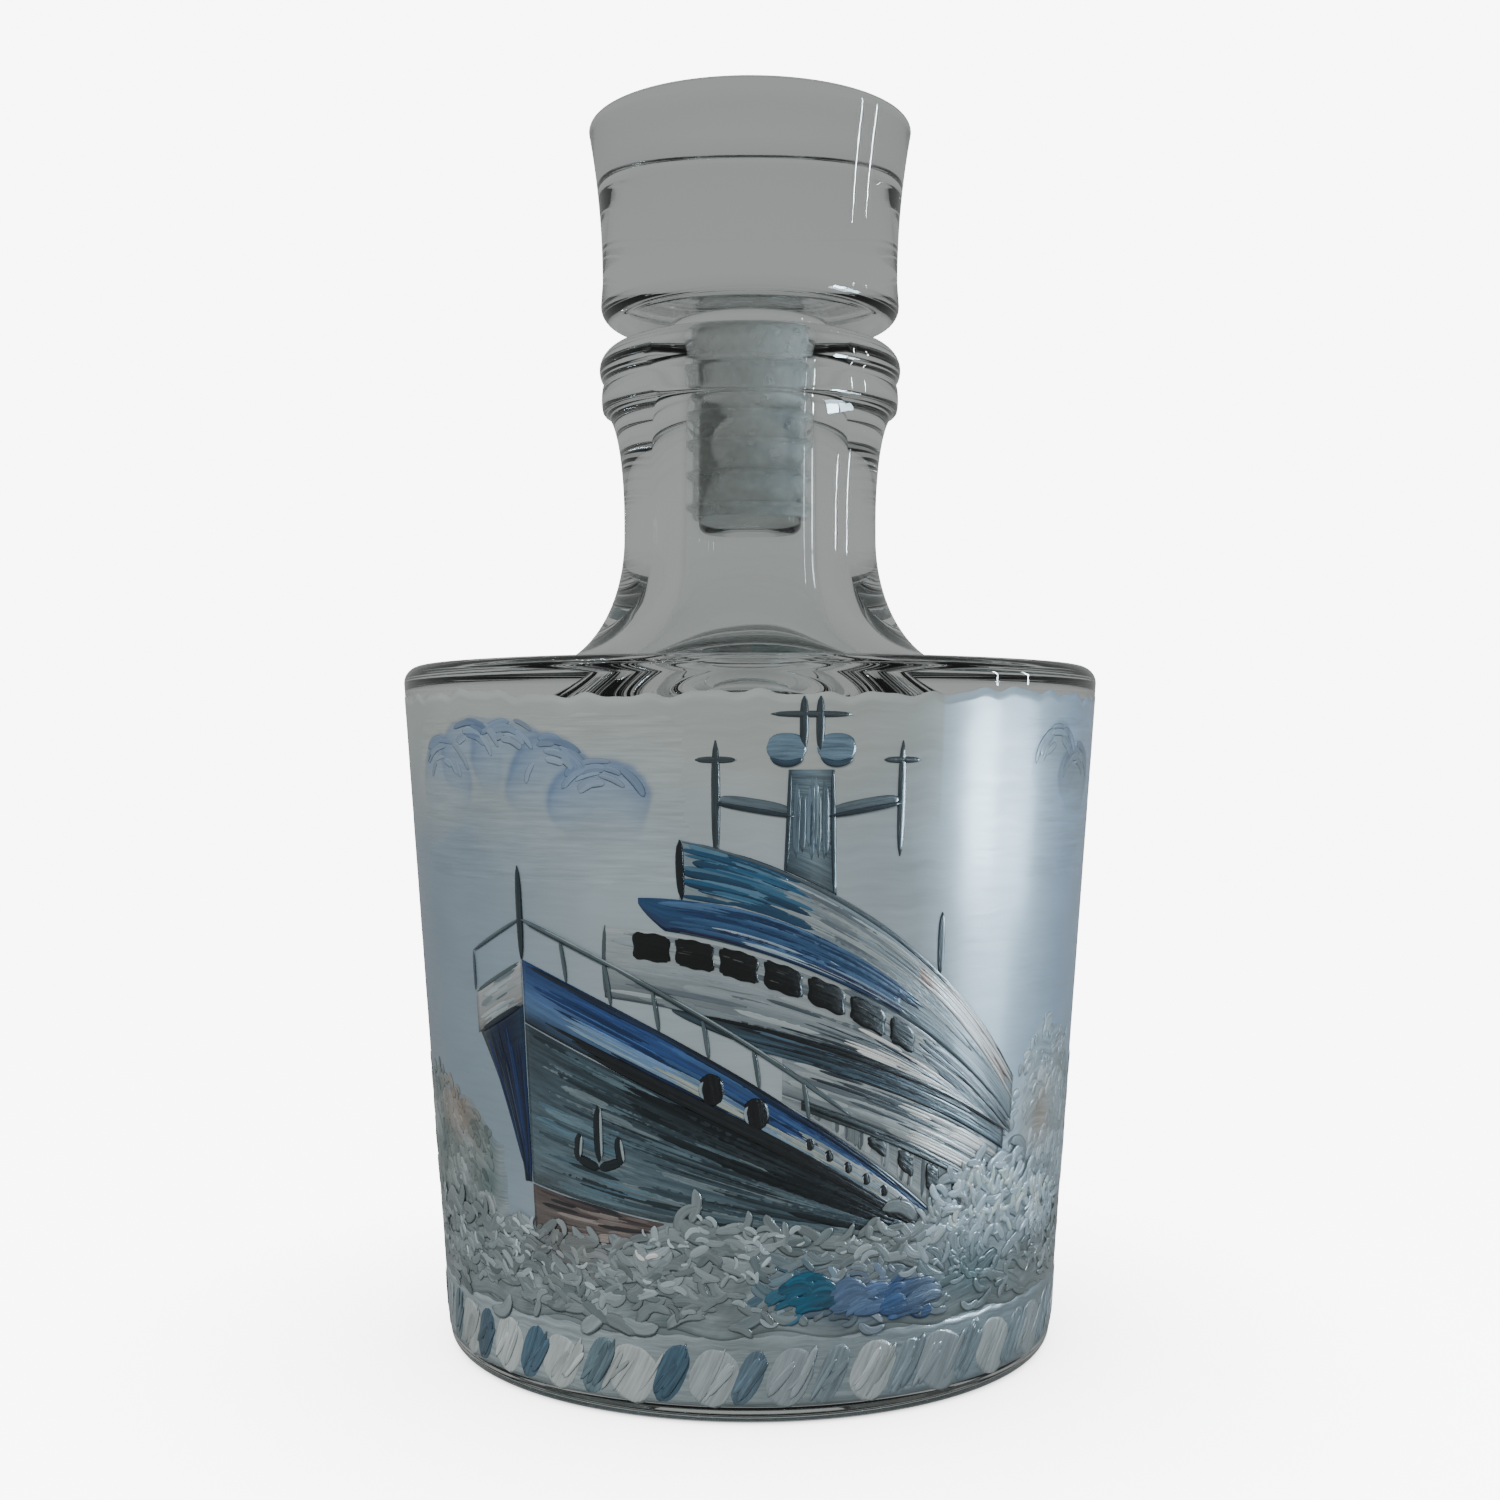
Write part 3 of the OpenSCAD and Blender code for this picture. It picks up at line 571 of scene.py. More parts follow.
def cloud_tint(u, z):
    """Heads of cloud one in front of another, each edged in blue and paler inside, that fade
    downwards into the sky."""
    tint = sky_tint(u, z)
    for at_u, at_z, size in cloud_heads:
        x, y = u - at_u, z - at_z
        far = np.hypot(x, y / 0.85) / size + 0.07 * np.sin(3 * np.arctan2(y, x) + at_u)
        far = far + 0.05 * drift(u, z, 2)
        here = 1 / (1 + np.exp((far - 1) / 0.025)) * np.clip((y + 6) / 8, 0, 1)
        own = blend(far, (0, 0.55, 0.85, 1),
                    ((124, 138, 150), (120, 135, 149), (106, 124, 144), (82, 104, 133)))
        tint = tint * (1 - here[..., None]) + own * here[..., None]
    return tint


ARCS, CLOUD_LOW, CLOUD_HIGH, SPRAY_FOOT = 14, 84, 112.5, 26
rng = np.random.default_rng(40)
head = np.repeat(np.array(cloud_heads), ARCS, 0)
n = len(head)
angle = np.radians(rng.uniform(0, 130, n))
turn = np.radians(rng.uniform(25, 60, n))
radius = head[:, 2] * rng.uniform(0.45, 0.97, n)


def on_head(a, stretch=1.0):
    """A point on each stroke's own oval about its cloud head."""
    return head[:, :2] + stretch * radius[:, None] * pairs(np.cos(a), 0.85 * np.sin(a))


arc_tint = tinted(rng, cloud_tint, *on_head(angle + turn / 2).T, 0.84, 1.12)
thin_oil = oil_paint("cloud_paint", 0.12, 1.2, 0.2, 0.4, 0.2)
coat("clouds_paint", "clouds", "cloud_paint", thin_oil,
     patch(-68, -8, flat_edge(CLOUD_LOW), flat_edge(CLOUD_HIGH), 170, 90, 0.05, 0.08, cloud_tint, sky_tint),
     patch(46, 78, flat_edge(CLOUD_LOW), flat_edge(CLOUD_HIGH), 90, 80, 0.05, 0.08, cloud_tint, sky_tint),
     strokes(on_head(angle), on_head(angle + turn / 2, 1.05), on_head(angle + turn),
             rng.uniform(0.7, 1.5, n), 0.145, 0.025, arc_tint, steps=12, hairs=6, seed=41))


def spray_tint(u, z):
    """Distant spray: green-grey to the left, lighter to the right, with a little warm light above."""
    tint = blend(0.5 + 0.5 * drift(u, z, 2.6), (0, 0.4, 0.7, 1),
                 ((70, 88, 90), (96, 108, 108), (116, 124, 126), (136, 144, 146)))
    tint = towards(tint, 0.75 * (u > 0) * (0.7 + 0.4 * drift(u, z, 3)), 160, 172, 180)
    tint = towards(tint, 0.6 * spot(u, z, -60, 45, 7, 5), 136, 120, 108)
    return towards(tint, 0.6 * spot(u, z, 60, 44, 5, 6), 150, 134, 112)


def left_ceiling(u):
    """How high the spray stands beyond the bow."""
    return 44 + 7 * np.clip((-u - 48) / 14, 0, 1) + 1.5 * np.sin(u / 2.3)


def right_ceiling(u):
    """How high the spray stands beyond the stern."""
    return 50 + 12 * np.exp(-((u - 62) / 12) ** 2) + 1.5 * np.sin(u / 2.1)


rng = np.random.default_rng(50)
n = 620
side = rng.choice([-1, 1], n)
u = side * (48 + 40 * rng.beta(1.2, 1.2, n))
share = rng.random(n) ** 1.3
z = 28 + (np.where(side > 0, right_ceiling(u), left_ceiling(u)) - 29) * share
lean = rng.uniform(-1.6, 1.6, n)
reach = rng.uniform(1.5, 4.2, n) * (1 - 0.4 * share)
wave_paint = oil_paint("wave_paint", 0.2, 1.6, 0.3, 0.45)
coat("far_waves_paint", "far_waves", "wave_paint", wave_paint,
     patch(-90, -44, flat_edge(SPRAY_FOOT), left_ceiling, 100, 30, 0.05, 0.09, spray_tint, sky_tint),
     patch(44, 90, flat_edge(SPRAY_FOOT), right_ceiling, 100, 36, 0.05, 0.09, spray_tint, sky_tint),
     strokes(pairs(u, z), pairs(u + side * reach * 0.3, z + reach),
             pairs(u + side * reach * 0.6 + lean, z + reach * rng.uniform(0.2, 1, n)),
             rng.uniform(0.8, 2.0, n), 0.14, rng.uniform(0.04, 0.14, n),
             tinted(rng, spray_tint, u, z, 0.78, 1.3), seed=51))

# ---- Hull --------------------------------------------------------------------------------------
# The yacht's side, laid in with a flat coat and then dragged over with a dry flat brush along its
# sheer: steel blue and near black below, navy and cobalt with a cream light in the bulwark.
WATER = np.array([30.5, -0.12, 0.0008])
HULL_TOP = np.array([46, -0.5, -0.002])
SHEER = np.array([54.5, -0.6, -0.0035])
STEM_U, GAP, FAR_W, FAR_SLOPE, PLATE_H = -38.6, 0.3, 11, 0.5, 7


def height(line, u):
    """Height of one of the yacht's long lines, or of many, each a, b and c in a + bu + cuu."""
    line = np.asarray(line, float)
    return line[..., 0] + line[..., 1] * u + line[..., 2] * u * u


def raised(line, by):
    """The same long line, moved straight up by a distance."""
    return np.array([line[0] + by, line[1], line[2]], float)


far_end = STEM_U - FAR_W - 1
far_sheer = np.array([height(SHEER, STEM_U) - FAR_SLOPE * STEM_U, FAR_SLOPE, 0])


def lane(low, high, share, start, end):
    """Where strokes run that keep a share of the way between two long lines, as start, bend and end.
    The lines are parabolas, so the bend is where the two end slopes meet."""
    share, start, end = (np.broadcast_to(np.asarray(v, float), np.broadcast(share, start, end).shape).ravel()
                         for v in (share, start, end))
    line = np.asarray(low) * (1 - share[:, None]) + np.asarray(high) * share[:, None]
    middle = (start + end) / 2
    bend = height(line, start) + (line[:, 1] + 2 * line[:, 2] * start) * (middle - start)
    return (pairs(start, height(line, start)), pairs(middle, bend),
            pairs(end, height(line, end)))


def layer_base(layer):
    """How far off the glass a layer of flat coats starts."""
    return 0.02 + 0.11 * layer


def between(low, high, start, end, layer, colours, steps=70, rows=10, seed=0, point=0):
    """A slab that fills the band between two long lines, its colour blended from low to high through
    the given pigments and its face combed along the band. Its first stretch can come to a point."""
    rng = np.random.default_rng(seed)
    u, f = np.meshgrid(np.linspace(start, end, steps), np.linspace(0, 1, rows), indexing="ij")
    full = np.clip((u - start + 0.3) / (point + 0.3), 0, 1) ** 0.6
    z = height(low, u) * (1 - f) * full + height(high, u) * (1 - (1 - f) * full)
    tint = blend(f, np.linspace(0, 1, len(colours)), colours)
    base = layer_base(layer)
    comb = 0.02 * rng.random((1, rows)) + 0.012 * np.sin(u / 5 + 11 * f)
    return slab(u, z, base, base + 0.09 + comb, tint)


def dragged(low, high, count, reach, width, base, thick, seed, span, edge, *pigments, spread=0.2, hairs=6):
    """Long strokes dragged at random along a band. edge bunches them: above 1 towards the lower line,
    below 1 towards the upper."""
    rng = np.random.default_rng(seed)
    run = rng.uniform(*reach, count)
    start = rng.uniform(span[0], np.maximum(span[1] - run, span[0] + 0.1))
    end = np.minimum(start + run, span[1])
    share = 0.04 + 0.92 * rng.random(count) ** edge
    return strokes(*lane(low, high, share, start, end), rng.uniform(*width, count), base, thick,
                   mixed(rng, count, *pigments, spread=spread), steps=12, hairs=hairs, seed=seed)


hull_span = (STEM_U, 26)
coat("hull_side_paint", "hull_side", "steel_blue_paint", steel_blue,
     between(WATER, raised(HULL_TOP, -GAP), *hull_span, 1,
             [(80, 96, 104), (66, 84, 94), (50, 66, 76), (34, 44, 52)], seed=61),
     dragged(WATER, HULL_TOP, 150, (8, 26), (0.5, 1.6), 0.2, 0.08, 62, hull_span, 0.9,
             (34, 48, 56), (22, 32, 38), (66, 86, 96), (48, 66, 76), (84, 98, 104), spread=0.25),
     dragged(WATER, HULL_TOP, 26, (6, 16), (1.2, 2.6), 0.2, 0.07, 63, (STEM_U, -12), 1.1,
             (76, 98, 108), (92, 108, 114), (64, 90, 104)),
     dragged(WATER, HULL_TOP, 26, (14, 34), (0.8, 1.8), 0.23, 0.09, 64, (-22, 26), 0.3,
             (10, 14, 17), (15, 22, 26), (24, 32, 38)))
navy = oil_paint("navy_paint", 0.3, 1.6, 0.4, 0.6)
foot = height(WATER, STEM_U)
edge_top = height(raised(far_sheer, -PLATE_H - GAP), STEM_U - FAR_W)
stem_top = height(raised(far_sheer, -PLATE_H - GAP), STEM_U)


def on_flare(share, t):
    """A place on the far side of the bow: a share of the way from its flared edge to the stem, and
    t of the way up. The edge leaves the stem as a power of t."""
    edge = STEM_U - GAP - 1.5 - (FAR_W - 1.5) * t ** 1.6
    low, high = foot + (edge_top - foot) * t, foot + (stem_top - foot) * t
    return edge * (1 - share) + (STEM_U - GAP) * share, low * (1 - share) + high * share


f, t = np.meshgrid(np.linspace(0, 1, 12), np.linspace(0, 1, 26), indexing="ij")
stem_tint = blend(f, np.linspace(0, 1, 4), ((34, 44, 52), (10, 20, 46), (8, 16, 38), (22, 38, 58)))
rng = np.random.default_rng(65)
n = 34
share, low_t, high_t = rng.uniform(0.06, 0.94, n), rng.uniform(0, 0.4, n), rng.uniform(0.6, 1, n)
stem_run = [pairs(*on_flare(share, t_at)) for t_at in (low_t, (low_t + high_t) / 2, high_t)]
coat("stem_side_paint", "stem_side", "navy_paint", navy,
     slab(*on_flare(f, t), 0.13, 0.22 + 0.02 * np.sin(9 * f), stem_tint),
     strokes(*stem_run, rng.uniform(0.4, 1.1, n), 0.21, 0.1,
             mixed(rng, n, (10, 18, 42), (16, 32, 72), (8, 12, 20), (36, 52, 74), spread=0.2), steps=12,
             seed=66))

brown = oil_paint("brown_paint", 0.25, 1.6, 0.4, 0.5)
BOOT_FOOT = np.array([27.5, 0, 0])
coat("boot_top_paint", "boot_top", "brown_paint", brown,
     between(BOOT_FOOT, raised(WATER, -GAP), STEM_U, -14, 1, [(66, 58, 56), (86, 80, 78), (60, 52, 52)], 30,
             6, seed=67),
     dragged(BOOT_FOOT, WATER, 34, (4, 12), (0.4, 1.2), 0.2, 0.1, 68, (STEM_U, -14), 1,
             (92, 84, 82), (52, 44, 46), (120, 112, 110), (34, 34, 38)))

cobalt = oil_paint("cobalt_paint", 0.28, 1.6, 0.4, 0.65)
rail_span = (STEM_U, 33)
TOUCH_LOW, TOUCH_HIGH = 0.72 * HULL_TOP + 0.28 * SHEER, 0.5 * HULL_TOP + 0.5 * SHEER
coat("bulwark_paint", "bulwark", "cobalt_paint", cobalt,
     between(HULL_TOP, SHEER, *rail_span, 1, [(14, 20, 26), (66, 96, 130), (38, 66, 112), (16, 36, 78)], 90,
             14, seed=71),
     dragged(HULL_TOP, SHEER, 46, (12, 30), (0.5, 1.3), 0.2, 0.1, 72, rail_span, 0.7,
             (16, 38, 84), (28, 56, 108), (44, 78, 122), (12, 28, 62)),
     dragged(TOUCH_LOW, TOUCH_HIGH, 20, (10, 26), (0.5, 1.3), 0.23, 0.12, 73,
             (-32, 26), 1, (120, 136, 144), (140, 146, 140), (84, 112, 140), (104, 126, 142)),
     dragged(0.85 * HULL_TOP + 0.15 * SHEER, 0.3 * HULL_TOP + 0.7 * SHEER, 60, (5, 16), (0.7, 1.4), 0.23,
             0.08, 76, (7, 33), 1, (138, 146, 149), (124, 133, 138), (150, 157, 158)),
     dragged(HULL_TOP, 0.8 * HULL_TOP + 0.2 * SHEER, 22, (16, 40), (0.7, 1.3), 0.26, 0.16, 74, rail_span, 1,
             (12, 14, 16), (18, 22, 26)),
     dragged(0.1 * HULL_TOP + 0.9 * SHEER, SHEER, 12, (12, 30), (0.4, 0.8), 0.26, 0.14, 75, rail_span, 1,
             (14, 20, 30), (18, 30, 54)))

# ---- Cabins ------------------------------------------------------------------------------------
# White decks and cabin sides, dragged on wet in wet so the grey of the wash comes up through them,
# with bright loaded strokes towards the stern and the blue-green side of the fly bridge.
LOWER_DECK = np.array([54.5, -0.33, -0.0025])
UPPER_DECK = np.array([63.5, -0.25, -0.0035])
SILL = np.array([69.9, -0.3, -0.006])
BRIM = np.array([75.3, -0.3, -0.0065])
ROOF = np.array([81, -0.28, -0.009])
BRIDGE_TOP = np.array([89.3, -0.36, -0.008])
STERN_U, SHADE_H = 49, 3.5
white = oil_paint("white_paint", 0.12, 1.5, 0.4, 0.6)
GREYS = ((122, 131, 136), (140, 148, 151), (106, 116, 122), (132, 139, 142), (82, 93, 101))
BRIGHTS = ((186, 196, 200), (200, 208, 210), (174, 188, 196))
coat("bow_plate_paint", "bow_plate", "white_paint", white,
     between(raised(far_sheer, -PLATE_H), far_sheer, far_end, STEM_U - GAP, 1,
             [(120, 122, 122), (140, 144, 146)], 14, 6, seed=81),
     dragged(raised(far_sheer, -PLATE_H), far_sheer, 16, (3, 8), (0.5, 1.4), 0.2, 0.1, 82,
             (far_end, STEM_U - GAP), 1, *GREYS),
     dragged(raised(far_sheer, -PLATE_H - 0.6), raised(far_sheer, -PLATE_H + 0.3), 3, (8, 11), (0.5, 0.8),
             0.24, 0.14, 83, (far_end + 1, STEM_U - GAP), 1, (14, 20, 30), (24, 34, 44)),
     dragged(raised(far_sheer, -0.6), far_sheer, 4, (7, 11), (0.3, 0.6), 0.24, 0.12, 84,
             (far_end, STEM_U - GAP), 1, (70, 84, 88), (50, 64, 70)))

u, f = np.meshgrid(np.linspace(5, 45, 60), np.linspace(0, 1, 10), indexing="ij")
side_low = np.maximum(30, height(SHEER, u) + GAP)
z = side_low * (1 - f) + (height(LOWER_DECK, u) - GAP) * f
side_tint = blend(f, (0, 0.5, 1), ((132, 140, 144), (118, 126, 130), (84, 94, 98)))
rng = np.random.default_rng(85)
n = 60
su = rng.uniform(8, 44, n)
s_low = np.maximum(30, height(SHEER, su) + GAP) + 0.5
s_high = height(LOWER_DECK, su) - 0.8
s_high = np.maximum(s_high, s_low + 0.5)
coat("cabin_side_paint", "cabin_side", "white_paint", white,
     slab(u, z, 0.13, 0.22 + 0.015 * np.sin(u * 2.4), side_tint),
     strokes(pairs(su, s_low), pairs(su + 0.2, (s_low + s_high) / 2), pairs(su, s_high),
             rng.uniform(0.6, 1.6, n), 0.2, 0.08,
             mixed(rng, n, (128, 136, 140), (146, 152, 156), (100, 110, 114), (76, 86, 92), spread=0.1),
             seed=86))

deck_brim = raised(BRIM, -GAP)
low_deck_top = raised(UPPER_DECK, -SHADE_H)
coat("deckhouse_paint", "deckhouse", "white_paint", white,
     between(UPPER_DECK, deck_brim, -23, STERN_U, 1, [(84, 94, 100), (124, 132, 136), (134, 141, 143)], 90,
             14, seed=87),
     between(LOWER_DECK, low_deck_top, 5, 46, 1, [(92, 102, 108), (134, 142, 146), (106, 116, 122)], 60, 10,
             seed=88),
     dragged(UPPER_DECK, deck_brim, 60, (8, 26), (0.6, 2.0), 0.2, 0.09, 89, (-23, STERN_U), 1, *GREYS,
             spread=0.05),
     dragged(UPPER_DECK, SILL, 22, (6, 18), (0.3, 0.8), 0.24, 0.12, 90, (14, STERN_U), 0.8, *BRIGHTS,
             (96, 110, 118)),
     dragged(UPPER_DECK, SILL, 26, (8, 22), (0.3, 0.8), 0.22, 0.1, 94, (-4, STERN_U), 2.2,
             (34, 44, 52), (58, 70, 78), (22, 28, 34)),
     dragged(LOWER_DECK, low_deck_top, 16, (6, 18), (0.3, 0.7), 0.24, 0.1, 95, (8, 46), 0.5, (34, 44, 52),
             (60, 72, 80)),
     dragged(SILL, deck_brim, 30, (6, 16), (0.4, 1.0), 0.24, 0.1, 91, (27, STERN_U), 1,
             (60, 72, 86), (44, 54, 66), (96, 106, 116), (30, 40, 52)),
     dragged(LOWER_DECK, low_deck_top, 34, (6, 20), (0.5, 1.6), 0.2, 0.1, 92, (5, 46), 1, *GREYS,
             spread=0.05),
     dragged(LOWER_DECK, low_deck_top, 22, (6, 16), (0.35, 0.9), 0.26, 0.16, 93, (24, 46), 1, *BRIGHTS),
     strokes([[-22.8, height(UPPER_DECK, -22.8)]], [[-23.2, 73]], [[-22.6, height(BRIM, -22.6)]], 0.7, 0.22,
             0.14, shade(60, 70, 76), seed=94))

front_u = -10.6
coat("fly_bridge_paint", "fly_bridge", "white_paint", white,
     between(BRIM, ROOF, -17, front_u, 1, [(32, 48, 84), (28, 60, 98), (20, 46, 80)], 12, 6, 95, 4),
     between(BRIM, BRIDGE_TOP, front_u, STERN_U, 1,
             [(70, 86, 98), (104, 118, 126), (116, 128, 134), (86, 104, 116)], 90, 16, seed=96),
     dragged(ROOF, BRIDGE_TOP, 60, (7, 24), (0.5, 1.6), 0.2, 0.09, 97, (front_u, STERN_U), 1, *GREYS,
             (116, 132, 142), spread=0.07),
     dragged(ROOF, BRIDGE_TOP, 44, (6, 15), (0.6, 1.6), 0.23, 0.09, 98, (front_u, 10), 0.8,
             (26, 66, 98), (40, 82, 108), (66, 102, 124), (20, 48, 74)),
     dragged(0.5 * ROOF + 0.5 * BRIDGE_TOP, 0.2 * ROOF + 0.8 * BRIDGE_TOP, 9, (7, 15), (0.8, 1.6), 0.24,
             0.12, 99, (24, STERN_U - 1), 1, (122, 104, 98), (140, 122, 116), (110, 98, 96)),
     dragged(0.6 * ROOF + 0.4 * BRIDGE_TOP, BRIDGE_TOP, 14, (6, 17), (0.3, 0.7), 0.29, 0.16, 100,
             (20, STERN_U), 1, *BRIGHTS),
     dragged(0.05 * ROOF + 0.95 * BRIDGE_TOP, raised(BRIDGE_TOP, 0.2), 8, (18, 44), (0.35, 0.6), 0.28, 0.12,
             101, (front_u, STERN_U), 1, (70, 84, 92), (54, 66, 74)),
     strokes([[front_u + 0.4, height(ROOF, front_u)]], [[front_u, 88]],
             [[front_u + 0.2, height(BRIDGE_TOP, front_u)]], 1.3, 0.26, 0.16, shade(14, 18, 22), seed=102))

# ---- Mast --------------------------------------------------------------------------------------
# A tapered mast in thinned steel blue with an arm to each side and two plain radar domes, outlined
# with the tip of the brush.
MAST_U, MAST_TOP, ARM_Z, ARM_REACH, DOME_OUT = 9, 103, 98.5, 14, 3.7
DOME_Z = MAST_TOP + 3
u, f = np.meshgrid(np.linspace(-1, 1, 10), np.linspace(0, 1, 16), indexing="ij")
mast_foot = height(BRIDGE_TOP, MAST_U + 4 * u) + GAP
mast_tint = blend(u + 0.2 * np.sin(3 * f), (-1, -0.3, 0.3, 1),
                  ((44, 58, 68), (72, 90, 102), (92, 108, 116), (58, 72, 82)))
sides = np.array([-1, 1])
dome_u = MAST_U + DOME_OUT * sides


def each_side(out, z):
    """A place on either side of the mast, as far out as given."""
    return pairs(MAST_U + sides * out, z)


rng = np.random.default_rng(110)
grain = rng.uniform(-2.7, 2.7, 14)
coat("mast_paint", "mast", "steel_blue_paint", steel_blue,
     slab(MAST_U + (4 - 0.6 * f) * u, mast_foot * (1 - f) + MAST_TOP * f, 0.13, 0.22 + 0 * u, mast_tint),
     strokes(each_side(ARM_REACH, ARM_Z), each_side(8, ARM_Z - 1),
             each_side(2.6, ARM_Z - 2), 2.1, 0.13, 0.24, shade(72, 86, 94), 10, seed=111),
     strokes(each_side(ARM_REACH, ARM_Z - 0.7), each_side(8, ARM_Z - 1.8),
             each_side(2.6, ARM_Z - 2.7), 0.8, 0.3, 0.14, shade(30, 40, 48), 10, seed=112),
     strokes(pairs(dome_u - 2.9, DOME_Z), pairs(dome_u, DOME_Z + 0.4),
             pairs(dome_u + 2.9, DOME_Z), 4.8, 0.13, 0.26, shade(84, 106, 122), 10, 9, seed=113),
     strokes(pairs(dome_u - 2.4, DOME_Z - 1.2), pairs(dome_u, DOME_Z - 3.0),
             pairs(dome_u + 2.4, DOME_Z - 1.2), 1.0, 0.3, 0.12, shade(34, 52, 68), 8, seed=114),
     strokes(each_side(3.6, height(BRIDGE_TOP, MAST_U + sides * 3.6) + 0.6),
             each_side(3.4, 94), each_side(3.1, MAST_TOP),
             0.7, 0.24, 0.14, shade(36, 48, 56), 12, seed=115),
     strokes(pairs(MAST_U + grain, rng.uniform(87.5, 92, 14)),
             pairs(MAST_U + grain * 0.95, 95),
             pairs(MAST_U + grain * 0.9, rng.uniform(98, 102, 14)), rng.uniform(0.5, 1.1, 14), 0.22, 0.09,
             mixed(rng, 14, (104, 120, 128), (40, 54, 64), (66, 84, 96), (84, 104, 118)), 10, seed=116))

# ---- Panes, ports and doors ---------------------------------------------------------------------
# Black laid thick with a small flat brush, one pane at a time, so the corners are soft and a few
# hairs leave grey lines across them.
PANES, PANE_GAP, PORTHOLES, PORTHOLES_FROM, PORTHOLES_RUN = 7, 0.9, 8, 9.5, 22
black = oil_paint("black_paint", 0.3, 2.2, 0.5, 0.45)


def pane(low, high, start, end, seed, layer=2):
    """A pane between two long lines, with its edges pulled in and out by a few sines and three grey
    hair lines over it."""
    rng = np.random.default_rng(seed)
    a, b = np.meshgrid(np.linspace(-1, 1, 14), np.linspace(-1, 1, 10), indexing="ij")
    soft = 1 - 0.16 * np.abs(a * b) ** 8
    phase = rng.uniform(0, TURN, 4)
    u = (start + end) / 2 + (end - start) / 2 * a * soft * (1 + 0.04 * np.sin(5 * b + phase[0]))
    middle = (height(low, u) + height(high, u)) / 2
    half = (height(high, u) - height(low, u)) / 2
    z = middle + half * b * soft * (1 + 0.05 * np.sin(6 * a + phase[1]))
    base = layer_base(layer)
    dome = 0.16 * (1 - a ** 4) * (1 - b ** 4) + 0.03 * np.sin(9 * b + 2 * a + phase[2])
    body = slab(u, z, base, base + 0.1 + dome, shade(13, 14, 15))
    n = 3
    wide = (end - start) * 0.5
    shares = rng.uniform(0.2, 0.8, n)
    from_u = start + 0.3 + rng.uniform(0, wide * 0.6, n)
    run = lane(low, high, shares, from_u, from_u + wide * rng.uniform(0.4, 0.8, n))
    greys = mixed(rng, n, (52, 56, 58), (38, 40, 42), (76, 82, 84))
    hair_lines = strokes(*run, 0.28, base + 0.2, 0.08, greys, steps=6, hairs=4, seed=seed)
    return [body, hair_lines]


PANES_FROM, PANES_RUN, PANES_END = -18, 47, 26.6
pane_pitch = PANES_RUN / PANES
coat("bridge_windows_paint", "bridge_windows", "black_paint", black,
     *[part for i in range(PANES)
       for part in pane(raised(SILL, GAP), raised(BRIM, -0.7), PANES_FROM + i * pane_pitch,
                        min(PANES_FROM + (i + 1) * pane_pitch - PANE_GAP, PANES_END), 120 + i)])


def port(u, size, lean, seed, light_edge):
    """A round port: an upright oval dab of black with a pale crescent down its left side."""
    z = (height(HULL_TOP, u) + height(SHEER, u)) / 2
    half = size[1] / 2
    wide = size[0]
    dab = strokes([[u - lean, z + half]], [[u, z]], [[u + lean, z - half]],
                  wide, 0.24, 0.26, shade(14, 15, 17), 12, 10, seed=seed)
    crescent = strokes([[u - wide * 0.32, z + half * 0.5]], [[u - wide * 0.55, z]],
                       [[u - wide * 0.3, z - half * 0.6]],
                       wide * 0.16, 0.34, 0.12, light_edge, 8, 5, seed=seed)
    return [dab, crescent]


coat("hull_ports_paint", "hull_ports", "black_paint", black,
     *[part for i, u in enumerate((-6, 1))
       for part in port(u, (4.0, 5.0), 0.4, 130 + i, shade(120, 132, 138))])
coat("portholes_paint", "portholes", "black_paint", black,
     *[part for i in range(PORTHOLES)
       for part in port(PORTHOLES_FROM + i * PORTHOLES_RUN / (PORTHOLES - 1), (1.5, 1.9), 0.2, 140 + i,
                        shade(150, 158, 162))])
coat("cabin_windows_paint", "cabin_windows", "black_paint", black,
     *[part for i in range(4)
       for part in pane(raised(SHEER, 2.4 + i * 0.3), raised(LOWER_DECK, -1.6 - i * 0.1), 19 + i * 5.4,
                        22.2 + i * 5.1, 150 + i)])

# ---- Lines and shades --------------------------------------------------------------------------
# Drawn last with a rigger brush in thinned dark grey: the anchor, the shade under each deck, the
# blue brim over the bridge, the rails and posts, and the aerials.
rigger = oil_paint("dark_line_paint", 0.3, 2.2, 0.4, 0.6)


def ticks(*lines):
    """Straight lines drawn one by one, each from a place to a place."""
    line = np.array(lines, float)
    return line[:, :2], (line[:, :2] + line[:, 2:]) / 2, line[:, 2:]


